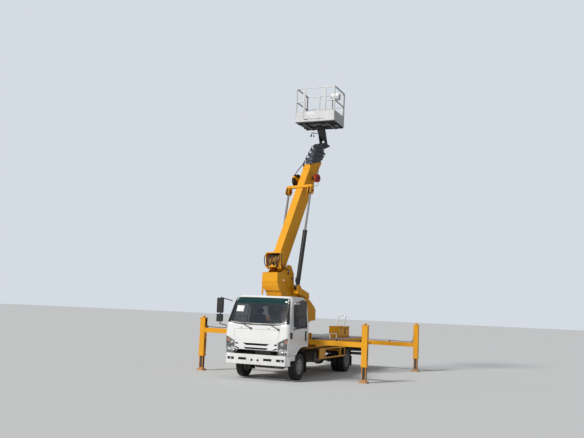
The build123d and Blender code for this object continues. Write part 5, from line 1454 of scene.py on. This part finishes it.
for x in (-0.04, 0.0, 0.04):
    hose(head_hoses, [(x, 4.84, 0.060), (x, 4.93, -0.110), (x, 5.03, -0.170), (x, 5.08, -0.08),
                      (x, 5.04, 0.03)], 0.010, BOOM)
for side in (1, -1):
    plate_x = side * (HEAD_HALF + 0.016)
    for y, z in ((4.76, 0.28), (4.80, 0.20), (4.90, 0.13), (5.06, -0.16)):
        bolt(head, (plate_x, y, z), (side, 0, 0), 0.016, BOOM)
    for y, z, roller in HEAD_PINS:
        lathe(head, roller, (plate_x + side * 0.0005, y, z), (side, 0, 0), BOOM, steps=28)
for y, z, roller in HEAD_PINS:
    rod(head, (-HEAD_HALF, y, z), (HEAD_HALF, y, z), 0.012, BOOM)
lathe(head, [(0.014, -0.016), (0.052, -0.016), (0.044, 0.0), (0.052, 0.016), (0.014, 0.016)],
      (0, 5.075, -0.195), (1, 0, 0), BOOM)
piece("head_fittings", head, black_paint, "boom_5")
piece("head_hoses", head_hoses, hose_black, "boom_5")


# Basket bracket. A dark welded post under the basket with the turning motor hung below its arm, a bent
# rod with two hooks for hand tools, and bolts round the turning plate and beside the level pin.
LEVEL = BOOM @ Matrix.Translation((0, 4.960, 0)) @ Matrix.Rotation(-BOOM_REST, 4, "X")
BASKET_R = -0.270
bracket_dark = painted("bracket_dark", (0.022, 0.024, 0.028), 0.5, dust=0.1)
dressed(["basket_bracket"], bracket_dark)
POST_OUT = 0.114
TURN_BOLTS_R = 0.112
TURN_BOLTS_Z = 0.645
HOOK_AT = (-0.265, -0.225)
HOOK_END = (-0.32, -0.28)
bracket_parts = bmesh.new()
rod(bracket_parts, (0, BASKET_R, 0.475), (0, BASKET_R, 0.575), 0.062, LEVEL)
lathe(bracket_parts, [(0.0, 0.556), (0.085, 0.556), (0.085, 0.562), (0.0, 0.562)], (0, BASKET_R, 0),
      (0, 0, 1), LEVEL)
for n in range(12):
    turn = radians(30 * n)
    spot = (TURN_BOLTS_R * cos(turn), BASKET_R + TURN_BOLTS_R * sin(turn), TURN_BOLTS_Z)
    bolt(bracket_parts, spot, (0, 0, 1), 0.014, LEVEL)
for side in (1, -1):
    for y, z in ((-0.03, 0.44), (-0.12, 0.54), (0.03, 0.12), (-0.02, 0.12)):
        bolt(bracket_parts, (side * POST_OUT, y, z), (side, 0, 0), 0.018, LEVEL)
hook = [(-0.10, -0.06, 0.43), (-0.16, -0.12, 0.435), (-0.28, -0.24, 0.44), (-0.315, -0.275, 0.44),
        (*HOOK_END, 0.43), (*HOOK_END, 0.40), (*HOOK_END, 0.33)]
hose(bracket_parts, hook, 0.013, LEVEL)
rod(bracket_parts, (*HOOK_END, 0.345), (-0.35, -0.31, 0.300), 0.026, LEVEL)
rod(bracket_parts, (*HOOK_AT, 0.44), (*HOOK_AT, 0.34), 0.008, LEVEL)
rod(bracket_parts, (*HOOK_AT, 0.345), (*HOOK_AT, 0.300), 0.022, LEVEL)
piece("bracket_fittings", bracket_parts, bracket_dark, "level")


# Basket. Welded aluminium tube with round corner posts, a ribbed floor and sheet kick plates, with a
# blank label on the gate's, the control box on the back rail, and a dark frame under the floor; a thin
# black sheet under the whole floor is painted shade.
BASKET = LEVEL @ Matrix.Translation((0, BASKET_R, 0.692)) @ Matrix.Rotation(SLEW_REST, 4, "Z")
BASKET_X, BASKET_Y, BASKET_H = 0.710, 0.520, 1.200
GATE_X = (-0.400, 0.340)
alloy = Finish("basket_alloy", (0.50, 0.51, 0.53), 0.42, 0.35)
brushed = alloy.noise(26, 3, (1, 1, 0.06))
marks = alloy.noise(4, 5)
alloy.set("Base Color", alloy.mix(alloy.ramp(marks, 0.4, 0.7) * 0.5, (0.52, 0.53, 0.55),
                                  (0.38, 0.38, 0.39)))
alloy.set("Roughness", brushed * 0.25 + marks * 0.1 + 0.28)
alloy.bump(brushed + alloy.noise(240, 3) * 0.4, 0.0004)
dressed(["basket", "basket_gate"], alloy.material)
UNDER_BARS_AND_SHADE_SHEET = (
    # x from and to, y from and to, height from and to, rounding
    (-0.46, -0.38, -0.50, 0.50, -0.066, 0.001, 0.003),
    (0.38, 0.46, -0.50, 0.50, -0.066, 0.001, 0.003),
    (-0.69, 0.69, -0.52, -0.48, -0.045, 0.001, 0.003),
    (-0.69, 0.69, -0.32, -0.28, -0.045, 0.001, 0.003),
    (-0.69, 0.69, 0.28, 0.32, -0.045, 0.001, 0.003),
    (-0.69, 0.69, 0.48, 0.52, -0.045, 0.001, 0.003),
    (-0.62, -0.50, -0.34, -0.16, -0.066, -0.002, 0.006),
    (0.52, 0.66, -0.10, 0.22, -0.060, -0.002, 0.006),
    # The last row is a thin black sheet under the whole floor: painted shade under the basket.
    (-0.69, 0.69, -0.49, 0.49, -0.005, -0.0005, 0.0),
)
under = bmesh.new()
for x0, x1, y0, y1, z0, z1, rounding in UNDER_BARS_AND_SHADE_SHEET:
    box(under, (x0, x1), (y0, y1), (z0, z1), BASKET, bevel=rounding)
piece("basket_underframe_and_shade_sheet", under, black_paint, "basket")

KICK_TOP_Z = 0.352
fittings = bmesh.new()
for x in about(0, BASKET_X - 0.02):
    for y in about(0, BASKET_Y - 0.02):
        rod(fittings, (x, y, 0.06), (x, y, BASKET_H - 0.001), 0.0225, BASKET)
for n in range(12):
    box(fittings, about(-0.62 + 0.113 * n, 0.012), about(0, BASKET_Y - 0.05), (0.059, 0.064), BASKET,
        bevel=0.002)
for x0, x1 in ((-BASKET_X, GATE_X[0]), (GATE_X[1], BASKET_X)):
    box(fittings, (x0, x1), (-BASKET_Y - 0.004, -BASKET_Y + 0.006), (KICK_TOP_Z - 0.012, KICK_TOP_Z),
        BASKET, bevel=0.002)
for n in range(4):
    y = -0.42 + 0.28 * n
    for side in (1, -1):
        rod(fittings, (side * (BASKET_X - 0.004), y, 0.2), (side * (BASKET_X + 0.001), y, 0.2), 0.008,
            BASKET, sides=12)
piece("basket_fittings", fittings, alloy.material, "basket")

LABEL_Y = -BASKET_Y + 0.0045
label = bmesh.new()
box(label, (-0.30, -0.02), (LABEL_Y - 0.001, LABEL_Y), (0.235, 0.325), BASKET)
piece("blank_label", label, paper.material, "gate")

LEVER_Y = BASKET_Y - 0.13
control = bmesh.new()
box(control, (0.245, 0.565), (BASKET_Y - 0.215, BASKET_Y - 0.038), (BASKET_H - 0.235, BASKET_H - 0.026),
    BASKET, bevel=0.008)
piece("control_box", control, alloy.material, "basket")
levers = bmesh.new()
for n in range(4):
    x = 0.285 + 0.075 * n
    rod(levers, (x, LEVER_Y, BASKET_H - 0.028), (x, LEVER_Y, BASKET_H - 0.020), 0.016, BASKET)
    rod(levers, (x, LEVER_Y, BASKET_H - 0.022), (x, LEVER_Y, BASKET_H), 0.005, BASKET)
hose(levers, [(0.30, BASKET_Y - 0.10, BASKET_H - 0.23), (0.30, BASKET_Y - 0.07, 0.70),
              (0.28, BASKET_Y - 0.065, 0.40), (0.26, BASKET_Y - 0.07, 0.10),
              (0.25, BASKET_Y - 0.075, 0.06)], 0.009, BASKET)
piece("control_levers", levers, black_plastic, "basket")
